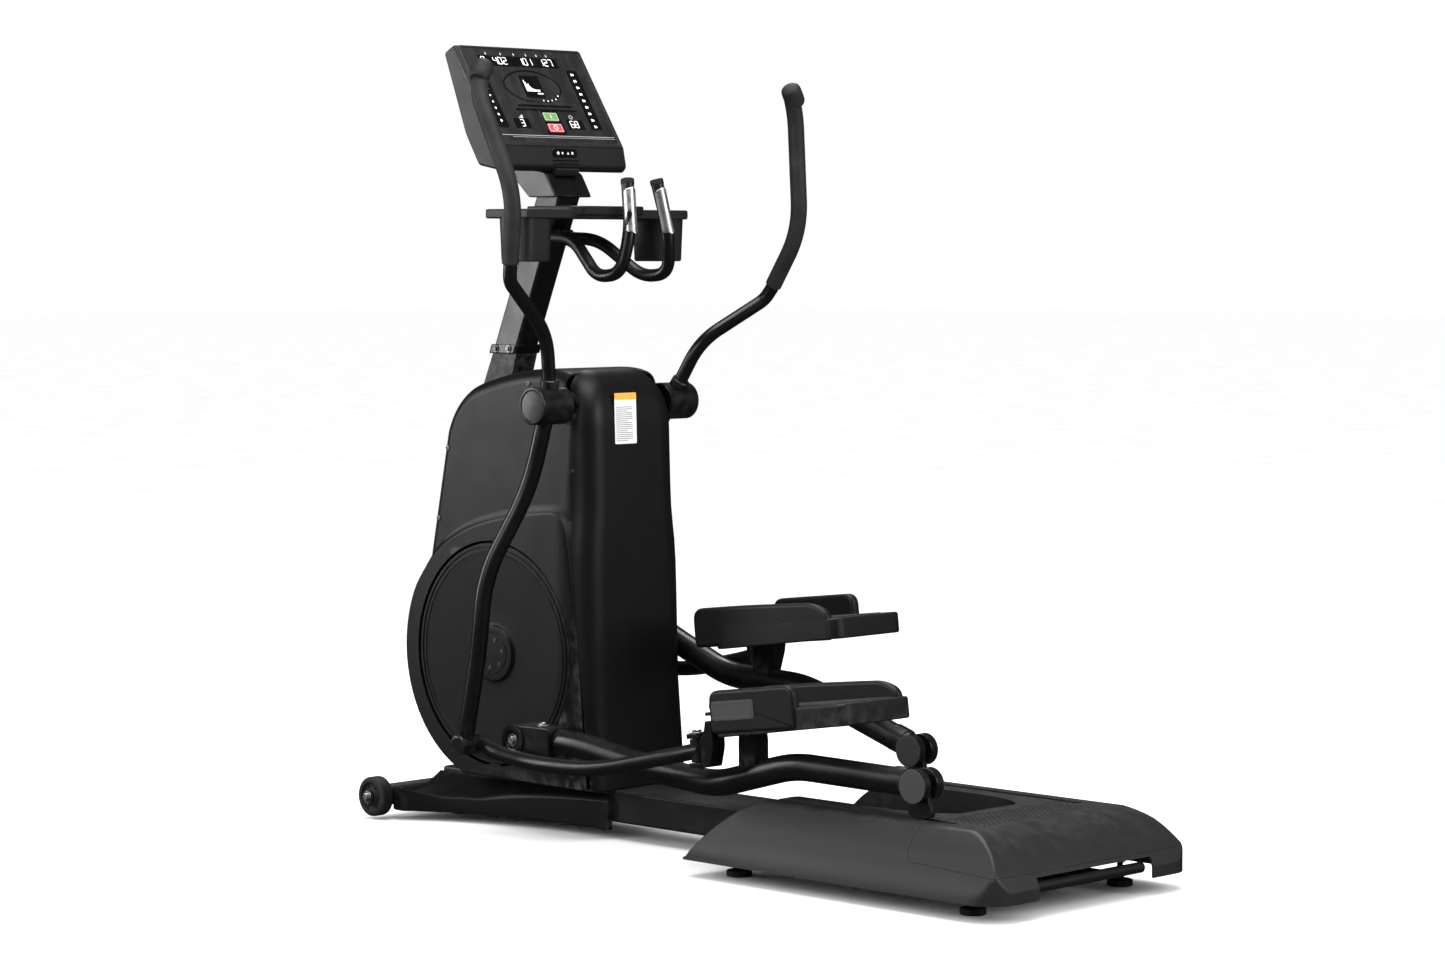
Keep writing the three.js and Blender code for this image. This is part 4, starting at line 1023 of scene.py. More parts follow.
def hex_head(bm, x, y, z, across, height, axis):
    """A bolt head with a washer, standing out along +-axis from its seat."""
    direction = {
        "-y": Vector((0, -1, 0)), "+z": Vector((0, 0, 1)), "+x": Vector((1, 0, 0)),
        "-x": Vector((-1, 0, 0)),
    }[axis]
    first = Vector((1, 0, 0)) if abs(direction.x) < 0.5 else Vector((0, 1, 0))
    second = direction.cross(first)
    seat = Vector((x, y, z))

    def ring(radius, out, corners, sides=24):
        points = []
        for k in range(sides):
            turn = 2 * math.pi * k / sides
            reach = radius
            if corners:
                reach = radius / max(math.cos((turn % (math.pi / 3)) - math.pi / 6), 0.86)
            points.append(
                seat + (first * math.cos(turn) + second * math.sin(turn)) * reach + direction * out,
            )
        return points
    washer = across * 0.92
    loft(
        bm,
        [
            ring(washer - 0.5, 0, False), ring(washer, 0.5, False), ring(washer, 1.5, False),
            ring(washer - 0.6, 2.0, False),
        ],
    )
    half = across / 2
    loft(
        bm,
        [
            ring(half, 2.0, True), ring(half, height - 1, True), ring(half * 0.93, height, False),
            ring(half * 0.55, height + 0.15, False),
        ],
    )


def wheel(bm):
    """Drawn on the left: a rubber tyre with a groove, on a recessed hub."""
    x, z = -981, 55
    turned_y(bm, [
        (9, -252), (33, -252), (34.5, -250.5), (40, -250), (44.5, -251), (47.2, -253.6), (48, -257),
        (48, -264.6), (46.6, -266), (46.6, -270), (48, -271.4), (48, -279), (47.2, -282.4), (44.5, -285),
        (40, -286),
        (35.2, -286), (34, -284.8), (34, -280.6), (32, -279.6), (24, -279.6), (22, -281), (18, -285.2),
        (17, -286), (9, -286),
    ], x, z, 96)


def wheel_spokes(bm):
    x, z = -981, 55
    for k in range(6):
        turn = math.radians(60 * k)
        mid = Vector((x + 27 * math.cos(turn), -280.4, z + 27 * math.sin(turn)))
        place = Matrix.Translation(mid) @ Matrix.Rotation(-turn, 4, "Y") @ Matrix.Diagonal((12, 3.4, 3.2, 1))
        bmesh.ops.create_cube(bm, size=1.0, matrix=place)
    bmesh.ops.bevel(bm, geom=bm.edges[:], offset=0.7, segments=2, affect="EDGES")


for side, flip in SIDES:
    make(
        "transport_tyre_" + side, wheel, "wheel_" + side, RUBBER, upright(flip),
        ("transport_wheel_" + side,),
    )
    make("wheel_spokes_" + side, wheel_spokes, "wheel_" + side, RUBBER, upright(flip))
    make(
        "wheel_axle_bolt_" + side, lambda bm: hex_head(bm, -981, -295, 55, 17, 8.5, "-y"), "root", BRIGHT,
        upright(flip),
    )


# ---- Levelling feet ----
def foot(x, y, top, under):
    """A rubber pad on a threaded stem, with a lock nut just under the bar it carries."""
    def draw(bm):
        turned_z(bm, [
            (1, 0), (26.4, 0), (28, 1.6), (28, 10.5), (26.6, 13.2), (22, 15), (14, 15.4), (9.4, 18),
            (7.2, 20), (7.2, 21),
        ], x, y, 56)
        z = 21
        profile = []
        while z < top:
            profile += [(6.3, z), (7.0, z + 0.9)]
            z += 1.8
        turned_z(bm, [(1, 20.5)] + profile + [(6.3, top), (1, top)], x, y, 24)
        rings = []
        for radius, height in (
            (11.2, under - 9), (12.2, under - 8), (12.2, under - 1.4), (11.2, under - 0.4),
        ):
            corners = [math.pi / 3 * k for k in range(6)]
            rings.append(
                [Vector((x + radius * math.cos(a), y + radius * math.sin(a), height)) for a in corners]
            )
        loft(bm, rings)
    return draw


FEET = {
    "foot_front_left": (-905, -56, "levelling_foot_front_left"),
    "foot_front_right": (-905, 56, "levelling_foot_front_right"),
    "foot_middle_left": (221, -245, "levelling_foot_middle_left"),
    "foot_middle_right": (221, 245, "levelling_foot_middle_right"),
    "foot_rear_left": (896, -245, "levelling_foot_rear_left"),
    "foot_rear_right": (896, 245, "levelling_foot_rear_right"),
}
for node_name, (foot_x, foot_y, foot_body) in FEET.items():
    stem_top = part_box(node_name)[1][2] / MM
    bar_under = 40 if "front" in node_name else 60
    make(
        node_name + "_pad", foot(foot_x, foot_y, stem_top, bar_under), foot_body, RUBBER,
        replaces=(node_name,),
    )


# ---- Front covers beside the beam ----
def cover_roof(y):
    """The front cover's height across its width: it falls from the beam, then lifts to a lip."""
    heights = ((80, 108), (150, 64), (190, 62), (250, 84))
    for (near, high), (far, low) in zip(heights, heights[1:]):
        if y <= far:
            return high + (low - high) * (y - near) / (far - near)
    return heights[-1][1]


def front_cover(bm):
    """Drawn on the left: a low flared cover whose outer edge curves out to the stabilizer."""
    edge = [Vector((-345, 102))] + curve((-345, 102), (-560, 112), (-770, 132), (-912, 246), 22)
    edge += [Vector((-938, 246)), Vector((-946, 243)), Vector((-949.6, 238))]
    sections = []
    for point in edge:
        reach = max(point.y, 87)
        lip = cover_roof(reach)
        ring = [
            (86.6, 22.5), (reach - 5, 22.5), (reach - 1.5, 24), (reach, 28), (reach, lip - 7),
            (reach - 2, lip - 2),
        ]
        for k in range(9):
            y = reach - 6 - (reach - 6 - 86.6) * k / 8
            ring.append((y, cover_roof(y)))
        sections.append([Vector((point.x, -max(y, 86.6), min(z, 103.6))) for y, z in ring])
    loft(bm, sections)


for side, flip in SIDES:
    make(
        "front_cover_moulding_" + side, front_cover, "root", SHELL, upright(flip),
        ("front_cover_" + side,), sharp=28,
    )


# ---- Base cover at the rear ----
BASE_NOSE, BASE_REAR = 138, 1030
RECESS_HALF, RECESS_X = 150, 560
PLAN_CORNER = 70
COVER_WALL = 5
CAP_LINE = [(778, 104), (1060, 92), (1060, 260), (762, 260), (762, 120)]


def curve_height(x, start, pull, end):
    """The height at x on a quadratic curve given by three (x, z) points."""
    a = start[0] - 2 * pull[0] + end[0]
    b = 2 * (pull[0] - start[0])
    c = start[0] - x
    t = -c / b if abs(a) < 1e-6 else (-b + math.sqrt(max(0.0, b * b - 4 * a * c))) / (2 * a)
    return start[1] * (1 - t) ** 2 + 2 * pull[1] * t * (1 - t) + end[1] * t * t


def cover_top(x, inset):
    """The cover's height along its length: a rising nose, a flat deck, a falling tail."""
    nose, rear = BASE_NOSE + 3 * inset, BASE_REAR - inset
    if x < 313 + inset:
        rise = curve_height(max(x, nose), (nose, 35), (BASE_NOSE + 70, 148), (313 + inset, 179 - inset))
        return min(rise, 176 - inset)
    if x < 870:
        return 176 - inset
    return min(
        176 - inset, curve_height(min(x, rear), (870, 179 - inset), (985 - inset, 176 - inset), (rear, 62)),
    )


def cover_reach(x, z, inset):
    """Half the cover's width at a height, drawn in round the rear corners."""
    if z < 64:
        reach = 338 - inset - 4 * (z - 38) / 26
    elif z < 154 - inset:
        reach = 334 - inset + (278 - 334) * (z - 64) / (154 - inset - 64)
    else:
        reach = 278 - inset - 26 * (z - 154 + inset) / 22
    over = x - (BASE_REAR - inset - PLAN_CORNER)
    if over > 0:
        reach = min(reach, 338 - PLAN_CORNER + math.sqrt(max(0.0, PLAN_CORNER**2 - over**2)) - inset)
    return reach


def cover_block(inset, low):
    def draw(bm):
        nose, rear = BASE_NOSE + 3 * inset + 0.5, BASE_REAR - inset
        spots = [nose + (313 - nose) * (i / 16) ** 1.5 for i in range(17)]
        spots += [360, 500, 650, 800, 870] + [870 + (960 - 870) * i / 6 for i in range(1, 7)]
        spots += [960 + (rear - 960) * math.sin(math.pi / 2 * i / 10) for i in range(1, 11)]
        rings = []
        for x in spots:
            top = max(cover_top(x, inset), low + 6)
            levels = [low] + [low + (top - low) * f for f in (0.1, 0.25, 0.42, 0.6, 0.78)]
            shoulder = min(6.0, 0.2 * (top - low))
            levels += [top - shoulder * (1 - math.sin(math.pi / 2 * i / 4)) for i in range(5)]
            half = []
            for k, z in enumerate(levels):
                rounding = 0.0
                if k > 5:
                    rounding = shoulder * (1 - math.cos(math.pi / 2 * (k - 6) / 4))
                half.append((cover_reach(x, max(z, 38), inset) - rounding, z))
            ring = [Vector((x, -y, z)) for y, z in half] + [Vector((x, y, z)) for y, z in reversed(half)]
            rings.append(ring)
        loft(bm, rings)
    return draw


def recess_plan(grow):
    half = 150 + grow
    points = [Vector((0, -half)), Vector((560, -half))]
    bend = [(560, -half), (690, -half), (730 + grow, -half + 60)]
    for t in (0.125 * i for i in range(1, 9)):
        points.append(
            sum(
                (Vector(p) * w for p, w in zip(bend, ((1 - t) ** 2, 2 * t * (1 - t), t * t))),
                Vector((0, 0)),
            )
        )
    return points + [Vector((p.x, -p.y)) for p in reversed(points)]


def base_cover():
    shell = combine(
        raw("base_moulding", cover_block(0, 38)), extruded("recess", recess_plan(0), -10, 300, "z"),
        "DIFFERENCE",
    )
    hollow = combine(
        raw("hollow", cover_block(COVER_WALL, 30)),
        extruded("kept", recess_plan(COVER_WALL), -20, 310, "z"), "DIFFERENCE",
    )
    shell = combine(shell, hollow, "DIFFERENCE")
    cuts = [
        ("groove_left", 262, 820, -215, -195, 124, 200, 9.9),
        ("groove_right", 262, 820, 195, 215, 124, 200, 9.9),
        ("beam_slot", 700, 960, -89, 89, 0, 117, 2),
        ("bar_slot", 193, 249, -293, 293, 0, 103, 2),
    ]
    for spec in cuts:
        shell = combine(shell, box_tool(*spec), "DIFFERENCE")
    line = [Vector(p) for p in CAP_LINE]
    cap = combine(copy_of(shell, "rear_step_moulding"), extruded("cap", line, -400, 400, "y"), "INTERSECT")
    wider = [
        Vector((778, 103.4)), Vector((1060, 91.4)), Vector((1060, 260)), Vector((761.4, 260)),
        Vector((761.4, 119.4)),
    ]
    shell = combine(shell, extruded("cap_gap", wider, -400, 400, "y"), "DIFFERENCE")
    shell = combine(shell, box_tool("handle_pocket", 975, 1060, -190, 190, 30, 84, 6), "DIFFERENCE")
    cap = combine(cap, box_tool("tread_pocket", 768, 890, -188, 188, 173, 220, 4), "DIFFERENCE")
    for piece, node_name in ((shell, "base_cover"), (cap, "rear_step_cover")):
        bevel_edges(piece, 1.2, 2, 42)
        dress(piece, "root", COVER, (node_name,), sharp=35)


base_cover()


def step_tread(bm):
    """A rubber mat of small diamonds between plain borders."""
    base = 173.4
    block(bm, 768.5, 889.5, -187.5, 187.5, base, 175.6, 0.8, 3)
    pitch_x, pitch_y = 9.5, 15.6
    for i in range(12):
        for j in range(24):
            x = 776.5 + pitch_x * i
            y = -179 + pitch_y * j + (pitch_y / 2 if i % 2 else 0)
            if y > 180:
                continue
            low = [(x - 3.9, y), (x, y - 6.6), (x + 3.9, y), (x, y + 6.6)]
            high = [(x - 2.4, y), (x, y - 4.6), (x + 2.4, y), (x, y + 4.6)]
            loft(bm, [[Vector((*p, 175.2)) for p in low], [Vector((*p, 176.9)) for p in high]])


make("tread_mat", step_tread, "root", TREAD, replaces=("step_tread",), sharp=40)


def lift_handle(bm):
    """A cross tube with two arms welded to the beam's end."""
    turned_y(
        bm, [(9.5, -180), (11.6, -179.2), (12, -177.5), (12, 177.5), (11.6, 179.2), (9.5, 180)], 1004, 60,
        40,
    )
    for y in (-52, 52):
        block(bm, 930.4, 1001, y - 12, y + 12, 52, 68, 2, 3)


make("lift_handle_tube", lift_handle, "root", COAT_BASE, replaces=("lift_handle",))


def track(bm):
    """Drawn on the left: a rolled channel whose two lips guide the roller."""
    x0, x1, y0, y1 = 236, 925, -244, -188
    outer = [
        (y0, 100.4, 1), (y1, 100.4, 1), (y1, 118, 1.6), (y1 - 5, 118, 1.6), (y1 - 5, 106, 1.5),
        (y0 + 5, 106, 1.5), (y0 + 5, 118, 1.6), (y0, 118, 1.6),
    ]
    outline = soft_outline(outer, 3)
    loft(bm, [[Vector((x, p.x, p.y)) for p in outline] for x in (x0, x1)])


for side, flip in SIDES:
    make(
        "roller_channel_" + side, track, "root", STEEL, upright(flip),
        ("roller_track_" + side,),
    )


# ---- Rails, carriages, pedals, links ----
BEARING_INNER, BEARING_OUTER = -173, -250


def crank_bracket(bm):
    """In the rail's frame: a bearing housing in a welded fork."""
    turned_y(bm, [
        (10, -246), (19, -246), (21, -247), (22, -249.4), (23.5, -250), (34, -250), (36, -248.4),
        (36, -247), (36, -175), (34.4, -173), (24, -173), (22, -174.5), (10, -174.5),
    ], 0, 0, 72)
    fork = soft_outline([(0, -35, 2), (96, -34, 10), (118, -30, 6), (118, 36, 8), (4, 36, 2)], 4)
    slab_y(bm, fork, -244, -176, 3, 3)


def bracket_bolts(bm):
    """The bearing's retaining bolt and the clamp bolt on top of the fork."""
    hex_head(bm, 0, -246.2, 0, 17, 7.4, "-y")
    hex_head(bm, 60, RAIL_Y, 35.6, 17, 7.4, "+z")


def pedal_rail(bm):
    y = RAIL_Y
    tube(
        bm, [(119, y, 2), (200, y, -2), (430, y, -36), (628, y, -52), (865, y, 10), (1206, y, 2)],
        RAIL_RADIUS, 50, 44, 10,
    )


def rail_end(bm):
    """The boss at the rail's end, split round the carriage blade."""
    for y0, y1 in ((-236.6, -214.4), (-195.6, -173.4)):
        turned_y(bm, disc_profile(36, y0, y1, 2), RAIL_LENGTH, 0, 56)
    bar_y(bm, 9.8, RAIL_LENGTH, -225, -185, 0)
    collar = []
    for x, r in ((1160, 30.2), (1162, 31.6), (1184, 31.6), (1198, 31.2)):
        collar.append(
            [
                Vector((x, RAIL_Y + r * math.cos(math.tau * k / 40), 4 + r * math.sin(math.tau * k / 40)))
                for k in range(40)
            ]
        )
    loft(bm, collar)


def rail_caps(bm):
    """Flat moulded caps over both faces of the boss."""
    for face, way in ((-236.9, -1), (-173.1, 1)):
        turned_y(
            bm,
            [
                (1, face - way * 3), (35, face - way * 3), (36.2, face - way * 1.5),
                (36.2, face - way * 0.4), (35.4, face), (30, face), (1, face),
            ],
            RAIL_LENGTH, 0, 72,
        )


def hinge_post(bm):
    """The stand that carries the pedal's hinge."""
    side = soft_outline(
        [(714, -6, 2), (766, -6, 2), (766, 60, 6), (758, 100, 14), (722, 100, 14), (714, 60, 6)], 4,
    )
    slab_y(bm, side, RAIL_Y - 22, RAIL_Y + 22, 2.5, 3)
    turned_y(
        bm, [(10.2, -229), (20, -229), (22, -227.4), (22, -182.6), (20, -181), (10.2, -181)], HINGE_ALONG,
        HINGE_ABOVE, 40,
    )


def carriage(x):
    """Drawn on the left, upright: a blade down to the roller's spindle."""
    def draw(bm):
        z = ROLLER_Z
        half = [
            (12, 112.4, 6), (12, 176, 3), (33, 182, 6), (33, 194, 8), (23, 218, 14), (19.6, 255, 10),
            (12, 265, 6),
        ]
        other = [(-a, b, r) for a, b, r in reversed(half)]
        outline = [Vector((x + p.x, p.y)) for p in soft_outline(half + other, 5)]
        slab_y(bm, outline, -211.8, -198.2, 1.6, 3)
        turned_y(bm, disc_profile(8, -232.6, -211, 1), x, 124.2, 24)
        turned_y(bm, disc_profile(12, -214, -211, 0.8), x, 124.2, 24)
    return draw


def roller(x):
    def draw(bm):
        turned_y(bm, [
            (8.8, -230.6), (12, -230.6), (12.6, -229.6), (14, -229.6), (14.8, -230.8), (16.6, -230.8),
            (18, -229),
            (18, -216.4), (16.6, -214.4), (8.8, -214.4),
        ], x, 124.2, 56)
    return draw


for side, flip in SIDES:
    state = linkage(side)
    rail_place = turned_place(state["pin"].x, state["pin"].y, state["rail"], flip)
    rail = "rail_" + side
    make(
        "bearing_fork_" + side, crank_bracket, rail, COAT, rail_place,
        ("crank_bracket_" + side,),
    )
    make("bracket_bolts_" + side, bracket_bolts, rail, BRIGHT, rail_place)
    make("rail_tube_" + side, pedal_rail, rail, COAT, rail_place, ("pedal_rail_" + side,))
    make("rail_end_boss_" + side, rail_end, rail, COAT, rail_place)
    make("rail_end_caps_" + side, rail_caps, rail, CAP, rail_place)
    make("hinge_post_" + side, hinge_post, rail, COAT, rail_place)
    make(
        "carriage_blade_" + side, carriage(state["roller_x"]), "carriage_" + side, COAT,
        upright(flip), ("roller_carriage_" + side,),
    )
    make(
        "roller_tyre_" + side, roller(state["roller_x"]), "roller_" + side, RUBBER,
        upright(flip), ("track_roller_" + side,),
    )


# ---- Pedals, in the hinge's frame ----
CLEVIS = (-122, -260, -46)  # the centre of the pin that joins the link to the bracket


def wall_corners(front, rear, z0, z1, tail):
    return soft_outline([(front, z0, 14), (rear, z0, 8), (rear, z1, tail), (front, z1, 26)], 7)


def pedal_tray(bm):
    """The tray under the deck: a rim with a turned-down edge and cross ribs below."""
    plan = [(-53, -282, 34), (340, -282, 34), (340, -50, 34), (-53, -50, 34)]
    outer = soft_outline(plan, 6)
    inner = shrink(outer, 8)

    def ring(drawn, z):
        lift = 8 if z < -10 else 0
        return [Vector((p.x, p.y, z + lift * max(0.0, min(1.0, p.x / 300)))) for p in shrink(outer, drawn)]

    side = ((3, -20), (0, -17), (0, 30), (1, 33), (3, 34.8), (6, 35.4), (9, 34.6), (11, 33.2), (12, 33.2))
    loft(bm, [ring(drawn, z) for drawn, z in side], capped=False)
    loft(bm, [ring(drawn, z) for drawn, z in ((3, -20), (7, -20), (8, -19), (8, 26))], capped=False)
    deck = [bm.verts.new(Vector((p.x, p.y, 26))) for p in inner]
    bm.faces.new(deck)
    top = [bm.verts.new(Vector((p.x, p.y, 33.2))) for p in shrink(outer, 12)]
    bm.faces.new(top)
    bmesh.ops.remove_doubles(bm, verts=bm.verts, dist=0.01)
    for x in (20, 90, 160, 230, 290):
        block(bm, x - 2, x + 2, -273, -59, -8, 27, 1, 1)
    for y in (-240, -170, -110):
        block(bm, -40, 330, y - 2, y + 2, -2, 27, 1, 1)


def deck_mat(bm):
    """The standing surface: a soft mat of long ribs that wrap up into the toe."""
    mat = soft_outline([(-40, -258, 18), (328, -268, 26), (328, -78, 30), (-40, -78, 18)], 6)
    slab_z(bm, mat, 32.6, 35.2, 1, 2)
    for k in range(12):
        y = -248 + 15 * k
        end = 300 if y > -255 else 280
        outline = soft_outline(
            [(-20, y - 3.6, 3.4), (end, y - 3.6, 3.4), (end, y + 3.6, 3.4), (-20, y + 3.6, 3.4)], 4,
        )
        slab_z(bm, outline, 34.4, 37.0, 1.0, 2)


def outer_wall(bm):
    """The thick outer wall; its outside carries a recessed plain plate."""
    slab_y(bm, wall_corners(-53, 204, -12, 84, 28), -287.8, -262.2, 9, 7)


def wall_plate(bm):
    frame_line = soft_outline([(-42, 17, 9), (86, 17, 9), (86, 60, 9), (-42, 60, 9)], 6)
    slab_y(bm, frame_line, -289.4, -286.6, 1.0, 2)
    inner = soft_outline([(-38, 21, 7), (82, 21, 7), (82, 56, 7), (-38, 56, 7)], 6)
    rings = []
    for drawn, y in ((0, -289.6), (0.8, -290.2), (2.4, -290.2), (3.4, -289.7)):
        rings.append([Vector((p.x, y, p.y)) for p in shrink(inner, drawn)])
    loft(bm, rings)


def inner_wall(bm):
    """The tall wall along the inside, a little lower towards its tail."""
    line = [(-112, -14, 14), (315, -14, 10), (315, 52, 22), (268, 73, 60), (60, 78, 40), (-112, 78, 30)]
    slab_y(bm, soft_outline(line, 7), -73.8, -50.2, 9, 7)


def toe_rest(bm):
    """The low wall across the toe and its plate, joined to both side walls."""
    plate = soft_outline([(-108, -250, 12), (20, -250, 6), (20, -52, 4), (-108, -52, 12)], 5)
    slab_z(bm, plate, 28, 35.8, 2, 3)
    rings = []
    for x, low, high in (
        (-108, 34, 60), (-106, 30, 66), (-102, 28, 69.6), (-98, 28, 70), (-93, 28, 67), (-88, 29, 56),
        (-84, 31, 42),
    ):
        ring = [
            Vector((x, -226, low)), Vector((x, -230, (low + high) / 2)), Vector((x, -226, high)),
            Vector((x, -140, high)), Vector((x, -64, high)), Vector((x, -62, (low + high) / 2)),
            Vector((x, -64, low)),
        ]
        rings.append(ring)
    loft(bm, rings)


def pedal_bracket(bm):
    """Two cheeks from the hinge pin to the pedal, and the head that holds the clevis."""
    cheek = [
        (-20, -18, 8), (14, -20, 10), (30, -4, 10), (80, 14, 6), (80, 27, 2), (-46, 27, 2), (-86, 20, 5),
        (-86, -12, 5), (-48, -14, 6),
    ]
    for y0, y1 in ((-247, -230.2), (-179.8, -163)):
        slab_y(bm, soft_outline(cheek, 5), y0, y1, 1.8, 3)
    block(bm, -88, -44, -246.6, -163.4, -15.6, 21.6, 2.5, 5)
    turned_y(bm, disc_profile(9, -248.6, -161.4, 1), 0, 0, 32)


def clevis(bm):
    x, y, z = CLEVIS
    web = [
        (-98, -84, 2), (-72, -84, 5), (-56, -40, 12), (-56, 18, 3), (-76, 18, 3), (-84, -10, 12),
        (-98, -22, 8),
    ]
    slab_y(bm, soft_outline(web, 5), y - 20, y + 20, 2.5, 3)
    for low, high in ((z + 27, z + 38), (z - 38, z - 27)):
        plan = soft_outline(
            [(x - 20, y - 22, 16), (x + 26, y - 22, 3), (x + 26, y + 22, 3), (x - 20, y + 22, 16)], 6,
        )
        slab_z(bm, plan, low, high, 1.4, 3)


def clevis_pin(bm):
    x, y = CLEVIS[:2]
    hex_head(bm, x, y, -8, 19, 7.6, "+z")
    turned_z(bm, [(1, -90), (6.4, -90), (8, -88.6), (8, -84), (11, -84), (11, -83.6), (1, -83.6)], x, y, 28)


def connecting_link(bm):
    eye_x = -LINK_LENGTH
    tube(bm, [
        (eye_x + 14, -262, -4), (eye_x + 90, -276, -26), (eye_x + 250, -318, -52), (eye_x + 450, -318, -76),
        (-182, -282, -54), (CLEVIS[0] + 4, CLEVIS[1], CLEVIS[2]),
    ], 18, 110, 40, 12)
    turned_y(
        bm, [(1, -279.2), (22, -279.2), (24, -277.6), (24, -256), (22, -254.2), (1, -254.2)], eye_x, 0, 48,
    )
    turned_z(bm, disc_profile(18, -71.8, -20.2, 1.6), CLEVIS[0], CLEVIS[1], 40)


for side, flip in SIDES:
    state = linkage(side)
    place = turned_place(state["hinge"].x, state["hinge"].y, state["link"], flip)
    body = "footboard_" + side
    make("pedal_tray_" + side, pedal_tray, body, PEDAL, place, ("pedal_" + side,))
    make("pedal_outer_wall_" + side, outer_wall, body, PEDAL, place)
    make("pedal_wall_plate_" + side, wall_plate, body, CAP, place)
    make("pedal_inner_wall_" + side, inner_wall, body, PEDAL, place)
    make("pedal_toe_rest_" + side, toe_rest, body, PEDAL, place)
    make("pedal_deck_mat_" + side, deck_mat, body, TREAD, place)
    make("pedal_cheeks_" + side, pedal_bracket, body, COAT, place, ("pedal_bracket_" + side,))
    make("link_clevis_" + side, clevis, body, COAT, place)
    make("clevis_pin_" + side, clevis_pin, body, BRIGHT, place)
    make(
        "link_tube_" + side, connecting_link, body, COAT, place, ("connecting_link_" + side,),
    )


# ---- Swing arms, in the pivot's frame ----
ARM_FOOT = (-184.8, -797.9)  # x and z of the pin at the arm's lower end


def arm_hub(bm):
    turned_y(bm, [
        (38, -158.4), (42.4, -158.4), (44, -160), (44, -250), (43.2, -252), (41.4, -252.9), (38, -253),
        (36.6, -251.6),
        (35.2, -251.2), (33.6, -252), (1, -252.6),
    ], 0, 0, 80)


def lower_arm(bm):
    tube(bm, [
        (-8, -203, -30), (-47, -216, -192), (-128, -286, -400), (-141, -292, -572), (ARM_FOOT[0], -300, ARM_FOOT[1]),
    ], 20, 90, 40, 10)


def arm_foot(bm):
    """The foot that takes the link's pin, just outside the link's eye."""
    foot_x, foot_z = ARM_FOOT
    turned_y(
        bm,
        [
            (1, -280.4), (22, -280.4), (24, -282), (24, -321), (22.6, -323.2), (18, -324), (16.8, -323),
            (1, -323),
        ],
        foot_x, foot_z, 56,
    )


def arm_socket(bm):
    """The short socket above the hub and the clamp collar that grips the handle."""
    tube(bm, [(1, -199.6, 16), (9, -203, 61)], 22, 1, 40, 1, 2.2)


def arm_handle(bm):
    tube(
        bm, [(5, -201.4, 44), (13, -216, 165), (40, -356, 287), (47, -361, 321.6), (56, -363, 400)], 16, 90,
        36, 10,
    )


def arm_grip(bm):
    tube(bm, [(47, -361, 325.4), (66, -365, 483), (-60, -361, 719), (-76, -330, 780)], 19.5, 70, 40, 12, 4)


def grip_knob(bm):
    """The rounded end of the grip, capped by a smooth insert."""
    axis = Vector((-10, 34, 42)).normalized()
    first = axis.cross(Vector((0, 0, 1))).normalized()
    second = axis.cross(first)
    base = Vector((-66, -356, 748)) + axis * 1.0
    rings = []
    for along, radius in (
        (0, 19.3), (3, 21.6), (8, 23.4), (16, 24), (34, 24), (42, 23.4), (47, 21.6), (50.5, 18), (52.6, 13),
        (53.6, 7), (53.9, 1),
    ):
        rings.append([
            base + axis * along
            + (first * math.cos(math.tau * k / 40) + second * math.sin(math.tau * k / 40)) * radius
            for k in range(40)
        ])
    loft(bm, rings)


for side, flip in SIDES:
    place = turned_place(ARM_X, ARM_Z, linkage(side)["arm"], flip)
    body = "arm_" + side
    make("arm_hub_" + side, arm_hub, body, COAT, place)
    make("arm_lower_tube_" + side, lower_arm, body, COAT, place, ("swing_arm_" + side,))
    make("arm_foot_" + side, arm_foot, body, COAT, place)
    make("arm_socket_" + side, arm_socket, body, COAT, place)
    make("handle_tube_" + side, arm_handle, body, COAT, place, ("arm_handle_" + side,))
    make("foam_grip_" + side, arm_grip, body, FOAM, place, ("arm_grip_" + side,))
    make("grip_knob_" + side, grip_knob, body, FOAM, place)


# ---- Mast ----
def mast_tube(bm):
    """A rectangular tube with round corners, leaning back, carried up into the head."""
    rings = []
    section = soft_outline([(-42, -35, 9), (42, -35, 9), (42, 35, 9), (-42, 35, 9)], 5)
    for z in (1147, 1250, 1400, 1510):
        rings.append([Vector((mast_x(z) + p.x, p.y, z)) for p in section])
    loft(bm, rings)


def mast_head(bm):
    line = [
        (-655, 1500, 4), (-562, 1500, 8), (-598, 1559, 10), (-677, 1573, 4), (-724, 1647, 4),
        (-756, 1636, 6), (-700, 1540, 12),
    ]
    slab_y(bm, soft_outline(line, 4), -60, 60, 3, 3)


def mast_collar(bm):
    section = [(-49, -42, 10), (49, -42, 10), (49, 42, 10), (-49, 42, 10)]
    rings = []
    for z, drawn in ((1126.4, 1.5), (1127.6, 0.4), (1129, 0), (1145, 0), (1147.2, 0.5), (1148.2, 1.8)):
        rings.append([Vector((mast_x(z) + p.x, p.y, z)) for p in shrink(soft_outline(section, 5), drawn)])
    loft(bm, rings)


def collar_bolts(bm):
    for x in (-22, 22):
        hex_head(bm, MAST_X + x, -42.2, MAST_Z + 4, 11, 5.6, "-y")


make("mast_tube", mast_tube, "root", COAT, replaces=("mast_upper",))
make("mast_head_plate", mast_head, "root", COAT)
make("mast_collar_band", mast_collar, "root", COAT)
for side, flip in SIDES:
    make("collar_bolts_" + side, collar_bolts, "root", STEEL, upright(flip))


# ---- Console ----
def console_body(bm):
    """The cast housing: a slab that narrows towards its lower back."""
    line = [
        (-760, 1861, 7), (-797, 1841, 9), (-722, 1648, 10), (-676, 1574, 8), (-600, 1560, 6),
        (-587, 1573, 7), (-597, 1621, 2),
    ]
    slab_y(bm, soft_outline(line, 5), -202, 202, 7, 5)


def face_ring(points, out):
    return [on_panel((p.x, p.y, out)) for p in points]


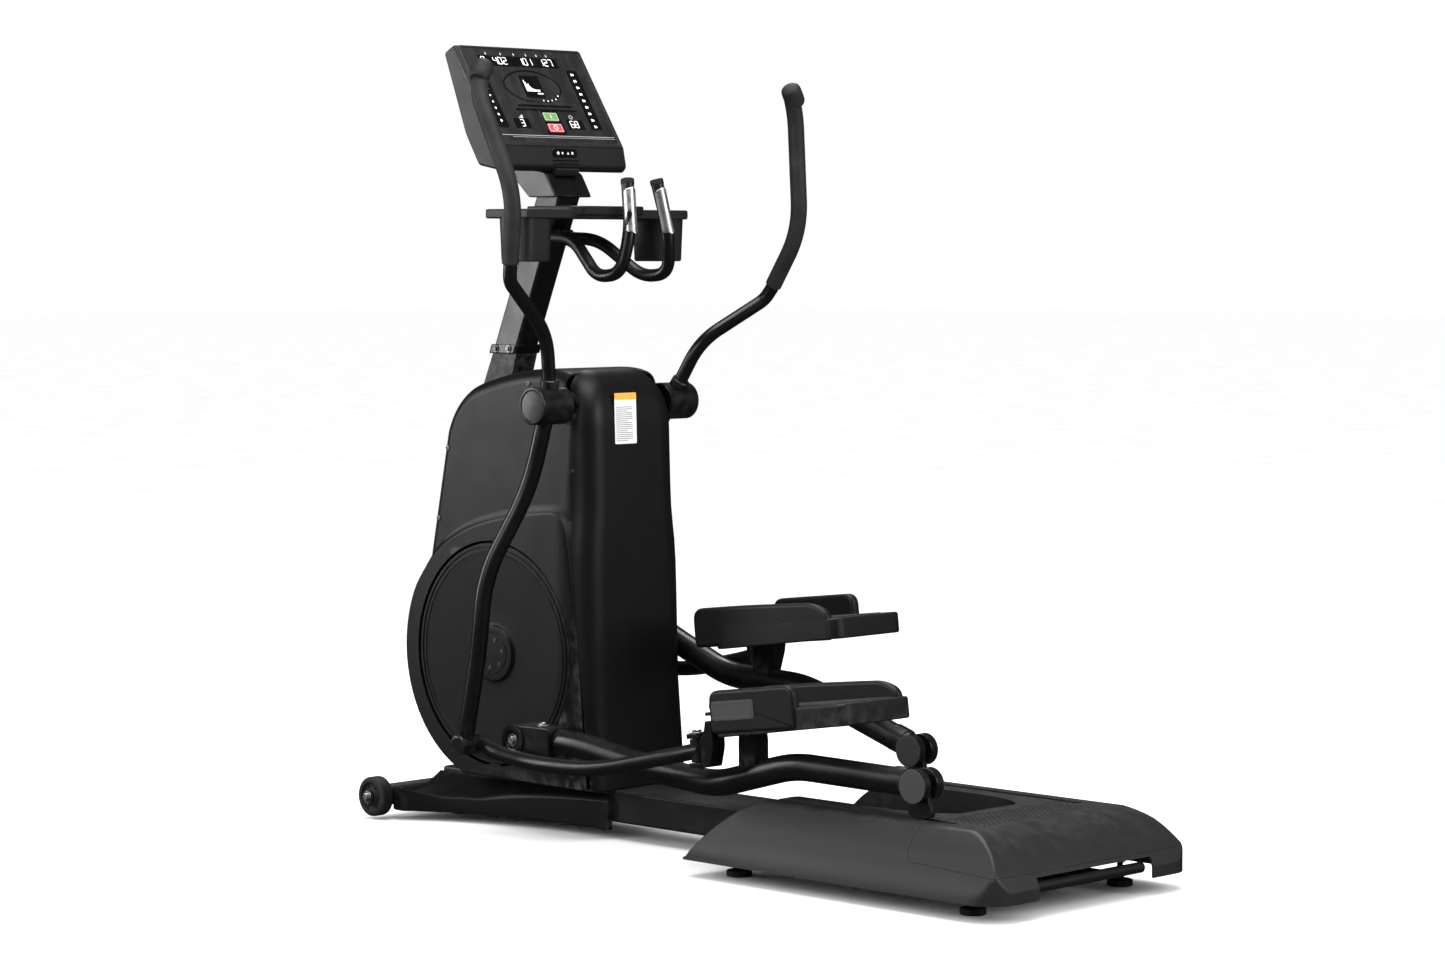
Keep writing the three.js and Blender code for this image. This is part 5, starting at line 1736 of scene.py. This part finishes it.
def face_plate(bm, s0, s1, y0, y1, out0, out1, corner=3, rim=0.4):
    """A thin plate lying on the console's face, from out0 to out1 above it."""
    plan = soft_outline([(s0, y0, corner), (s1, y0, corner), (s1, y1, corner), (s0, y1, corner)], 4)
    rings = [face_ring(plan, out0), face_ring(plan, out1 - rim), face_ring(shrink(plan, rim), out1)]
    loft(bm, rings)


def bezel(bm):
    """The frame round the overlay."""
    outer = soft_outline([(3, -197, 9), (288, -197, 9), (288, 197, 9), (3, 197, 9)], 5)
    inner = soft_outline([(9, -187, 5), (277.4, -187, 5), (277.4, 187, 5), (9, 187, 5)], 5)
    rings = [
        face_ring(inner, -2.6), face_ring(inner, 0.9), face_ring(shrink(inner, -1.0), 1.8),
        face_ring(shrink(outer, 1.2), 1.8), face_ring(outer, 0.6), face_ring(outer, -2.6),
    ]
    loft(bm, rings, capped=False)
    made = list(bm.verts)
    count = len(inner)
    first, last = made[:count], made[-count:]
    for i in range(count):
        j = (i + 1) % count
        bm.faces.new((last[i], last[j], first[j], first[i]))


def overlay(bm):
    """The face film, with an open well behind each key."""
    strips = [
        (9.5, 188.5, -186.6, 186.6), (188.5, 249.5, -186.6, -25.5), (188.5, 249.5, 25.5, 186.6),
        (249.5, 277, -186.6, 186.6),
    ]
    for s0, s1, y0, y1 in strips:
        corners = [Vector((s0, y0)), Vector((s1, y0)), Vector((s1, y1)), Vector((s0, y1))]
        loft(bm, [face_ring(corners, -2.4), face_ring(corners, 0.4)])


# Seven-segment strokes: a top, b and c right, d bottom, e and f left, g middle.
SEGMENTS = {
    "0": "abcdef", "1": "bc", "2": "abged", "3": "abgcd", "4": "fgbc", "5": "afgcd",
    "6": "afgedc", "7": "abc", "8": "abcdefg", "9": "abcdfg",
}
STROKES = {
    "a": ((0, 0), (0, 1)), "b": ((0, 1), (0.5, 1)), "c": ((0.5, 1), (1, 1)), "d": ((1, 0), (1, 1)),
    "e": ((0.5, 0), (1, 0)), "f": ((0, 0), (0.5, 0)), "g": ((0.5, 0), (0.5, 1)),
}


def stroke(bm, start, end, width, out=0.55, tall=0.5):
    """A flat bar on the console's face between two (down, across) points."""
    a, b = Vector(start), Vector(end)
    along = (b - a).normalized()
    side = Vector((-along.y, along.x)) * (width / 2)
    tip = along * (width * 0.45)
    plan = [a + side, a - tip * 0.0 - side, b - side, b + side]
    loft(bm, [face_ring(plan, out), face_ring(plan, out + tall)])


def digits(bm, text, s, y, tall, gap=4.6, width=1.5):
    """Draws numbers in seven-segment strokes; a full stop is a dot. y is the left edge."""
    wide = tall * 0.56
    for sign in text:
        if sign == ".":
            stroke(bm, (s + tall - 1, y - gap * 0.55), (s + tall + 1, y - gap * 0.55), 2.0)
            continue
        for name in SEGMENTS[sign]:
            (s0, y0), (s1, y1) = STROKES[name]
            a, b = Vector((s + s0 * tall, y + y0 * wide)), Vector((s + s1 * tall, y + y1 * wide))
            short = (b - a).normalized() * (width * 0.25)
            stroke(bm, a + short, b - short, width)
        y += wide + gap


def console_digits(bm):
    digits(bm, "0", 34, -141, 19)
    digits(bm, "4.02", 34, -103, 19)
    digits(bm, "101", 34, -22, 19)
    digits(bm, "127", 34, 45, 19)
    digits(bm, "3", 214, -104, 18)
    digits(bm, "68", 214, 56, 18)


def window_plates(bm):
    """Darker windows: digits, the side columns, and the square display."""
    face_plate(bm, 29, 59, -152, 104, 0.3, 0.7, 4)
    face_plate(bm, 209, 238, -126, -76, 0.3, 0.7, 3)
    face_plate(bm, 209, 238, 44, 100, 0.3, 0.7, 3)
    face_plate(bm, 62, 238, 118, 156, 0.3, 0.7, 8)
    face_plate(bm, 78, 238, -182, -148, 0.3, 0.7, 8)
    face_plate(bm, 84, 148, -48, 16, 0.3, 0.8, 4)


def oval_ring(bm):
    """A dark ring round the square display."""
    def oval(grow):
        points = []
        for k in range(72):
            turn = math.tau * k / 72
            points.append(
                Vector(
                    (
                        116 + (44 + grow) * math.sin(turn),
                        -14 + (88 + grow) * math.cos(turn) * (1 - 0.08 * math.sin(turn) ** 2),
                    ),
                ),
            )
        return points
    outer, inner = oval(4.2), oval(0)
    rings = [face_ring(inner, 0.3), face_ring(inner, 0.9), face_ring(outer, 0.9), face_ring(outer, 0.3)]
    loft(bm, rings, capped=False)


def lit_marks(bm):
    """The bar graph with its base line, ring dots and the lamps of both columns."""
    for k, height in enumerate((30, 24, 17, 20, 12, 7, 5, 4, 3, 3, 3, 3)):
        y = -36 + 3.6 * k
        stroke(bm, (128 - height, y), (130, y), 2.4, 0.7)
    for k, wave in enumerate((2, 5, 3, 6, 2, 5, 3)):
        stroke(bm, (136 - wave / 2, -6 + 2.8 * k), (136 + wave / 2, -6 + 2.8 * k), 1.2, 0.7)
    for y, s in ((2, 156), (16, 157), (30, 155), (44, 151), (56, 141)):
        stroke(bm, (s - 1.5, y), (s + 1.5, y), 3.0, 0.8)
    for k in range(9):
        s = 76 + 19 * k
        stroke(bm, (s - 3.4, 134), (s + 3.4, 134), 3.2, 0.6)
        stroke(bm, (s - 2.6, 139), (s + 2.6, 139), 2.2, 0.6)
        if k < 7:
            stroke(bm, (s, 132), (s, 141), 2.0, 0.6)
    for k in range(8):
        s = 92 + 18 * k
        size = 1.6 + 0.28 * k
        stroke(bm, (s - size, -165), (s + size, -165), 1.4 + 0.2 * k, 0.6)
        if k > 1:
            stroke(bm, (s, -165 - size), (s, -165 + size), 1.4, 0.6)


def small_icons(bm):
    """Plain pictograms over the windows: a heart, a hill, a ring, bars."""
    for y in (-120, -72, -30, 10, 44, 76):
        stroke(bm, (24, y - 2.4), (24, y + 2.4), 1.4, 0.5, 0.4)
        stroke(bm, (20, y), (27, y), 1.4, 0.5, 0.4)
    for k in range(4):
        stroke(bm, (208 - 3 * k, -104 + 4 * k), (209.5, -104 + 4 * k), 2.2, 0.5, 0.4)
    points = [
        (202 + 5 * math.cos(math.tau * k / 14), 66 + 5 * math.sin(math.tau * k / 14))
        for k in range(15)
    ]
    for a, b in zip(points, points[1:]):
        stroke(bm, a, b, 1.1, 0.5, 0.4)


def silver_lines(bm):
    """Two fine lines across the foot of the face."""
    stroke(bm, (258, -182), (258, 182), 1.6, 0.45, 0.35)
    stroke(bm, (263, -150), (263, 182), 1.0, 0.45, 0.35)


def ledge(bm):
    """A double-stepped rest under the display."""
    for s0, s1, half, high in ((166, 174, 78, 7.0), (177, 184, 90, 5.0)):
        plan = soft_outline(
            [(s0, -half - 8, 3.4), (s1, -half - 14, 3.4), (s1, half + 6, 3.4), (s0, half, 3.4)], 4,
        )
        loft(bm, [face_ring(plan, 0.3), face_ring(plan, high - 1), face_ring(shrink(plan, 1.0), high)])


def key_frame(bm):
    """A raised black frame round both keys."""
    outer = soft_outline([(184.6, -31, 7), (253.6, -31, 7), (253.6, 31, 7), (184.6, 31, 7)], 5)
    inner = soft_outline([(189.2, -25.2, 3), (248.8, -25.2, 3), (248.8, 25.2, 3), (189.2, 25.2, 3)], 5)
    rings = [
        face_ring(inner, -2.4), face_ring(inner, 2.0), face_ring(shrink(outer, 1.4), 2.6),
        face_ring(outer, 1.2), face_ring(outer, 0.3),
    ]
    loft(bm, rings, capped=False)
    bar = [Vector((217.2, -25)), Vector((220.8, -25)), Vector((220.8, 25)), Vector((217.2, 25))]
    loft(bm, [face_ring(bar, -2), face_ring(bar, 1.8)])


def key_cap(s0):
    def draw(bm):
        plan = soft_outline(
            [(s0 + 1.6, -22.8, 3), (s0 + 25.2, -22.8, 3), (s0 + 25.2, 22.8, 3), (s0 + 1.6, 22.8, 3)], 5,
        )
        loft(
            bm,
            [
                face_ring(plan, -7.5), face_ring(plan, 1.6), face_ring(shrink(plan, 0.6), 2.3),
                face_ring(shrink(plan, 1.8), 2.6),
            ],
        )
    return draw


def key_mark(kind, s0):
    """A plain line for start, a ring for stop, each inside a thin border."""
    def draw(bm):
        for a, b in (((s0 + 3.4, -20.6), (s0 + 3.4, 20.6)), ((s0 + 23.4, -20.6), (s0 + 23.4, 20.6)),
                     ((s0 + 3.4, -20.6), (s0 + 23.4, -20.6)), ((s0 + 3.4, 20.6), (s0 + 23.4, 20.6))):
            stroke(bm, a, b, 0.9, 2.3, 0.5)
        if kind == "line":
            stroke(bm, (s0 + 8, 0), (s0 + 18.6, 0), 2.4, 2.3, 0.5)
            return
        ring = [
            (s0 + 13.4 + 6.2 * math.cos(math.tau * k / 24), 5.4 * math.sin(math.tau * k / 24))
            for k in range(25)
        ]
        for a, b in zip(ring, ring[1:]):
            stroke(bm, a, b, 2.2, 2.3, 0.5)
    return draw


def on_lip(y, z, out):
    """A point in front of the lip under the face, which leans a little forward."""
    return Vector((-597 + (1621 - z) * 10 / 48 + out, y, z))


def lip_plate(bm, half, z0, z1, corner, out):
    """A low raised plate with a soft edge on the lip."""
    plan = soft_outline(
        [(-half, z0, corner), (half, z0, corner), (half, z1, corner), (-half, z1, corner)], 4,
    )
    levels = ((plan, -1.5), (plan, out - 0.8), (shrink(plan, 0.8), out))
    loft(bm, [[on_lip(p.x, p.y, level) for p in line] for line, level in levels])


def lip_frame(bm):
    """The frame round four small marks, and the slot edges below it."""
    lip_plate(bm, 39, 1595, 1615, 6, 2.4)
    lip_plate(bm, 43, 1585.6, 1588.6, 1.2, 1.8)
    lip_plate(bm, 43, 1577.6, 1580.6, 1.2, 1.8)


def lip_marks(bm):
    """A cross, a dot, a wedge and a square."""
    shapes = (
        [(-27, 1602.6), (-19, 1602.6), (-19, 1606.4), (-27, 1606.4)],
        [
            (-9 + 2.8 * math.cos(k * math.tau / 16), 1604.6 + 2.8 * math.sin(k * math.tau / 16))
            for k in range(16)
        ],
        [(5, 1601.8), (13, 1601.8), (9, 1607.6)],
        [(20, 1601.8), (26, 1601.8), (26, 1607.6), (20, 1607.6)],
    )
    for shape in shapes:
        loft(bm, [[on_lip(y, z, out) for y, z in shape] for out in (2.2, 2.7)])
    upright_bar = [(-24.8, 1600.4), (-21.2, 1600.4), (-21.2, 1608.6), (-24.8, 1608.6)]
    loft(bm, [[on_lip(y, z, out) for y, z in upright_bar] for out in (2.2, 2.8)])


def lip_block(bm):
    """The small hanging block under the lip."""
    slab_y(
        bm, soft_outline([(-612, 1552, 3), (-584, 1550, 4), (-578, 1567, 4), (-604, 1570, 3)], 4), -36, 36,
        2, 3,
    )


make("console_lip_frame", lip_frame, "root", WINDOW)
make("console_lip_marks", lip_marks, "root", WHITE)
make("console_lip_block", lip_block, "root", CONSOLE)
make("console_case", console_body, "root", CONSOLE, replaces=("console_housing",))
make("console_bezel", bezel, "root", CONSOLE)
make("console_overlay", overlay, "root", FILM, replaces=("console_panel",))
make("console_windows", window_plates, "root", WINDOW)
make("display_ring", oval_ring, "root", WINDOW)
make("console_digits", console_digits, "root", LIT)
make("console_lamps", lit_marks, "root", LIT)
make("console_icons", small_icons, "root", WHITE)
make("console_lines", silver_lines, "root", SILVER)
make("reading_ledge", ledge, "root", CONSOLE)
make("key_frame", key_frame, "root", WINDOW)
make("start_key_cap", key_cap(190), "start_button", GREEN, replaces=("start_key",))
make("stop_key_cap", key_cap(222), "stop_button", RED, replaces=("stop_key",))
make("start_key_mark", key_mark("line", 190), "start_button", WHITE)
make("stop_key_mark", key_mark("ring", 222), "stop_button", WHITE)


# ---- Tray with cup holders ----
def tray_bar(bm):
    """The cross tray with a raised front lip, cut round the mast."""
    slab_x(
        bm, soft_outline([(-262, 1448, 6), (262, 1448, 6), (262, 1470, 6), (-262, 1470, 6)], 4), -585, -440,
        3, 3,
    )


def tray_middle(bm):
    plan = soft_outline(
        [
            (-600, -120, 10), (-440, -120, 26), (-430, -80, 12), (-430, 80, 12), (-440, 120, 26),
            (-600, 120, 10),
        ],
        5,
    )
    slab_z(bm, plan, 1456, 1478, 4, 4)


def cup_walls(bm):
    """Drawn on the left: a tapered cup block with big round corners and a rolled lip."""
    rings = []
    for z, drawn in (
        (1348, 9), (1348.6, 6), (1352, 4), (1380, 3), (1440, 0.5), (1452, 0.2), (1457, 0.2), (1459.4, 1.2),
        (1460, 3),
    ):
        plan = soft_outline([(-549, -262, 26), (-445, -262, 26), (-445, -169, 26), (-549, -169, 26)], 7)
        rings.append([Vector((p.x, p.y, z)) for p in shrink(plan, drawn)])
    loft(bm, rings)


def cup_hollow(bm):
    rings = []
    for z, drawn in ((1354, 12), (1356, 8), (1362, 5), (1440, 1.5), (1480, 0.6)):
        plan = soft_outline(
            [(-543.5, -257, 24), (-450.5, -257, 24), (-450.5, -174, 24), (-543.5, -174, 24)], 7,
        )
        rings.append([Vector((p.x, p.y, z)) for p in shrink(plan, drawn)])
    loft(bm, rings)


def mirrored(draw):
    """The same shape on both sides of the middle, in one tool."""
    def both(bm):
        draw(bm)
        first = list(bm.verts)
        copied = bmesh.ops.duplicate(bm, geom=bm.verts[:] + bm.edges[:] + bm.faces[:])["geom"]
        for item in copied:
            if isinstance(item, bmesh.types.BMVert):
                item.co.y *= -1
        return first
    return both


def console_tray():
    tray = raw("tray_moulding", tray_bar)
    tray = combine(tray, raw("tray_middle", tray_middle), "UNION")
    tray = combine(tray, raw("cups", mirrored(cup_walls)), "UNION")
    tray = combine(tray, raw("cup_hollows", mirrored(cup_hollow)), "DIFFERENCE")
    slot = [
        Vector((mast_x(z) + d, z)) for z, d in ((1430, -42.6), (1430, 42.6), (1490, 42.6), (1490, -42.6))
    ]
    tray = combine(tray, extruded("mast_hole", slot, -35.6, 35.6, "y"), "DIFFERENCE")
    tray = combine(tray, box_tool("dish", -575, -470, -104, 104, 1474.6, 1490, 12), "DIFFERENCE")
    bevel_edges(tray, 1.0, 2, 50)
    dress(tray, "root", CONSOLE, ("console_tray",), sharp=38)


console_tray()


# ---- Fixed handlebar with its contact plates ----
HANDLEBAR = [
    (mast_x(1400) + 44, -24, 1404), (-520, -40, 1400), (-405, -74, 1312), (-322, -78, 1320),
    (-306, -62, 1420), (-332, -47, 1540),
]


def pulse_handlebar(bm):
    tube(bm, HANDLEBAR, 15, 55, 32, 10, 3)


def bar_caps(bm):
    """The plugged ends of the bar."""
    end, before = Vector(HANDLEBAR[-1]), Vector(HANDLEBAR[-2])
    along = (end - before).normalized()
    side = along.cross(Vector((0, 1, 0))).normalized()
    up = along.cross(side)
    rings = []
    for out, radius in ((-14, 15.3), (-12.5, 15.9), (-3, 15.9), (-0.8, 15.0), (0, 13.2), (0.2, 1)):
        rings.append([
            end + along * out
            + (side * math.cos(math.tau * k / 32) + up * math.sin(math.tau * k / 32)) * radius
            for k in range(32)
        ])
    loft(bm, rings)


def bar_flange(bm):
    face = mast_x(1400) + 42
    slab_x(
        bm, soft_outline([(-38, 1385, 8), (-1, 1385, 8), (-1, 1424, 8), (-38, 1424, 8)], 4), face + 1.4,
        face + 14, 1.5, 2,
    )


def contact_plate(bm):
    """Half a sleeve round the bar on the side that the palm meets, with round ends."""
    start, end = Vector((-307, -61, 1410)), Vector((-327, -49.5, 1518))
    along = (end - start).normalized()
    out = Vector((1, 0, 0)) - along * along.x
    out.normalize()
    side = along.cross(out)
    length = (end - start).length
    rings = []
    steps = 26
    for i in range(steps + 1):
        t = i / steps
        rise = t * length
        from_end = min(rise, length - rise)
        open_angle = math.radians(84)
        if from_end < 13:
            open_angle *= max(0.08, math.sqrt(max(0.0, 1 - ((13 - from_end) / 13) ** 2)))
        ring = []
        for radius in (16.9, 15.3):
            span = [open_angle * (2 * k / 12 - 1) for k in range(13)]
            if radius < 16:
                span.reverse()
            ring += [start + along * rise + (out * math.cos(a) + side * math.sin(a)) * radius for a in span]
        rings.append(ring)
    loft(bm, rings)


for side, flip in SIDES:
    make(
        "pulse_bar_" + side, pulse_handlebar, "root", COAT, upright(flip),
        ("pulse_handlebar",) if flip > 0 else (),
    )
    make("pulse_bar_cap_" + side, bar_caps, "root", RUBBER, upright(flip))
    make("pulse_bar_flange_" + side, bar_flange, "root", COAT, upright(flip))
    make(
        "contact_plate_" + side, contact_plate, "root", CONTACT, upright(flip),
        ("pulse_plate_" + side,), sharp=50,
    )


# ---- CAD nodes that keep their own shape ----
def finish_nodes(material, *names):
    for name in names:
        slots = NODES[name].data.materials
        slots.clear()
        slots.append(material)
        for face in NODES[name].data.polygons:
            face.material_index = 0


finish_nodes(SHELL, "crank_carrier_and_post")
finish_nodes(COAT, "rear_column", "arm_pivot_shaft")
finish_nodes(STEEL, "drive_pulley_and_axle", "flywheel")
finish_nodes(RUBBER, "drive_belt")


# ---- Stage: a pale floor, soft lights, and the camera ----
def pale_floor():
    bm = bmesh.new()
    bmesh.ops.create_grid(bm, x_segments=1, y_segments=1, size=60)
    mesh = bpy.data.meshes.new("floor")
    bm.to_mesh(mesh)
    bm.free()
    floor = bpy.data.objects.new("floor", mesh)
    bpy.context.scene.collection.objects.link(floor)
    material, tree, bsdf = blank_material("pale_floor")
    place = node(tree, "ShaderNodeTexCoord").outputs["Object"]
    mottle = between(tree, noise(tree, 3.0, 4, place), 0.3, 0.7)
    tree.links.new(mixed(tree, mottle, (0.80, 0.80, 0.80), (0.86, 0.86, 0.86)), bsdf.inputs["Base Color"])
    bsdf.inputs["Roughness"].default_value = 0.9
    bsdf.inputs["Specular IOR Level"].default_value = 0.1
    mesh.materials.append(material)
    floor.visible_glossy = False


def softbox(name, centre, aim, size, power, spread=180):
    light = bpy.data.lights.new(name, "AREA")
    light.shape = "RECTANGLE"
    light.size, light.size_y = size
    light.energy = power
    light.spread = math.radians(spread)
    lamp = bpy.data.objects.new(name, light)
    lamp.location = centre
    lamp.rotation_euler = (Vector(aim) - Vector(centre)).to_track_quat("-Z", "Y").to_euler()
    bpy.context.scene.collection.objects.link(lamp)


def studio_world():
    """White all round, but only a dim grey in reflections."""
    world = bpy.data.worlds.new("studio")
    bpy.context.scene.world = world
    world.use_nodes = True
    tree = world.node_tree
    background = tree.nodes["Background"]
    rays = node(tree, "ShaderNodeLightPath")
    seen = mixed(tree, rays.outputs["Is Diffuse Ray"], (1.0, 1.0, 1.0), (1.25, 1.25, 1.25))
    tone = mixed(tree, rays.outputs["Is Glossy Ray"], seen, (0.030, 0.030, 0.032))
    tree.links.new(tone, background.inputs["Color"])
    background.inputs["Strength"].default_value = 1.0


def product_camera():
    azimuth, pitch = math.radians(44.32), math.radians(3.57)
    camera = bpy.data.cameras.new("camera")
    camera.lens = 92.1
    camera.sensor_width = 36.0
    camera.clip_end = 200
    view = bpy.data.objects.new("camera", camera)
    bpy.context.scene.collection.objects.link(view)
    view.location = (5.832, -6.043, 1.373)
    ahead = Vector(
        (-math.sin(azimuth) * math.cos(pitch), math.cos(azimuth) * math.cos(pitch), -math.sin(pitch)),
    )
    view.rotation_euler = ahead.to_track_quat("-Z", "Y").to_euler()
    bpy.context.scene.camera = view


pale_floor()
studio_world()
softbox("top_light", (0.3, -0.4, 4.2), (0.0, 0.0, 0.8), (3.4, 2.4), 150)
softbox("left_light", (-0.9, -4.6, 2.6), (-0.2, 0.0, 0.7), (2.2, 2.4), 90)
softbox("right_light", (4.8, 1.6, 2.6), (0.2, 0.0, 0.8), (1.6, 2.8), 120)
softbox("back_strip", (-2.0, 1.8, 4.5), (-0.3, 0.0, 0.6), (0.8, 2.4), 60)
softbox("front_left_strip", (-3.8, -2.6, 1.8), (-0.4, 0.0, 0.8), (0.7, 2.6), 80)
product_camera()
bpy.context.scene.view_settings.view_transform = "Standard"
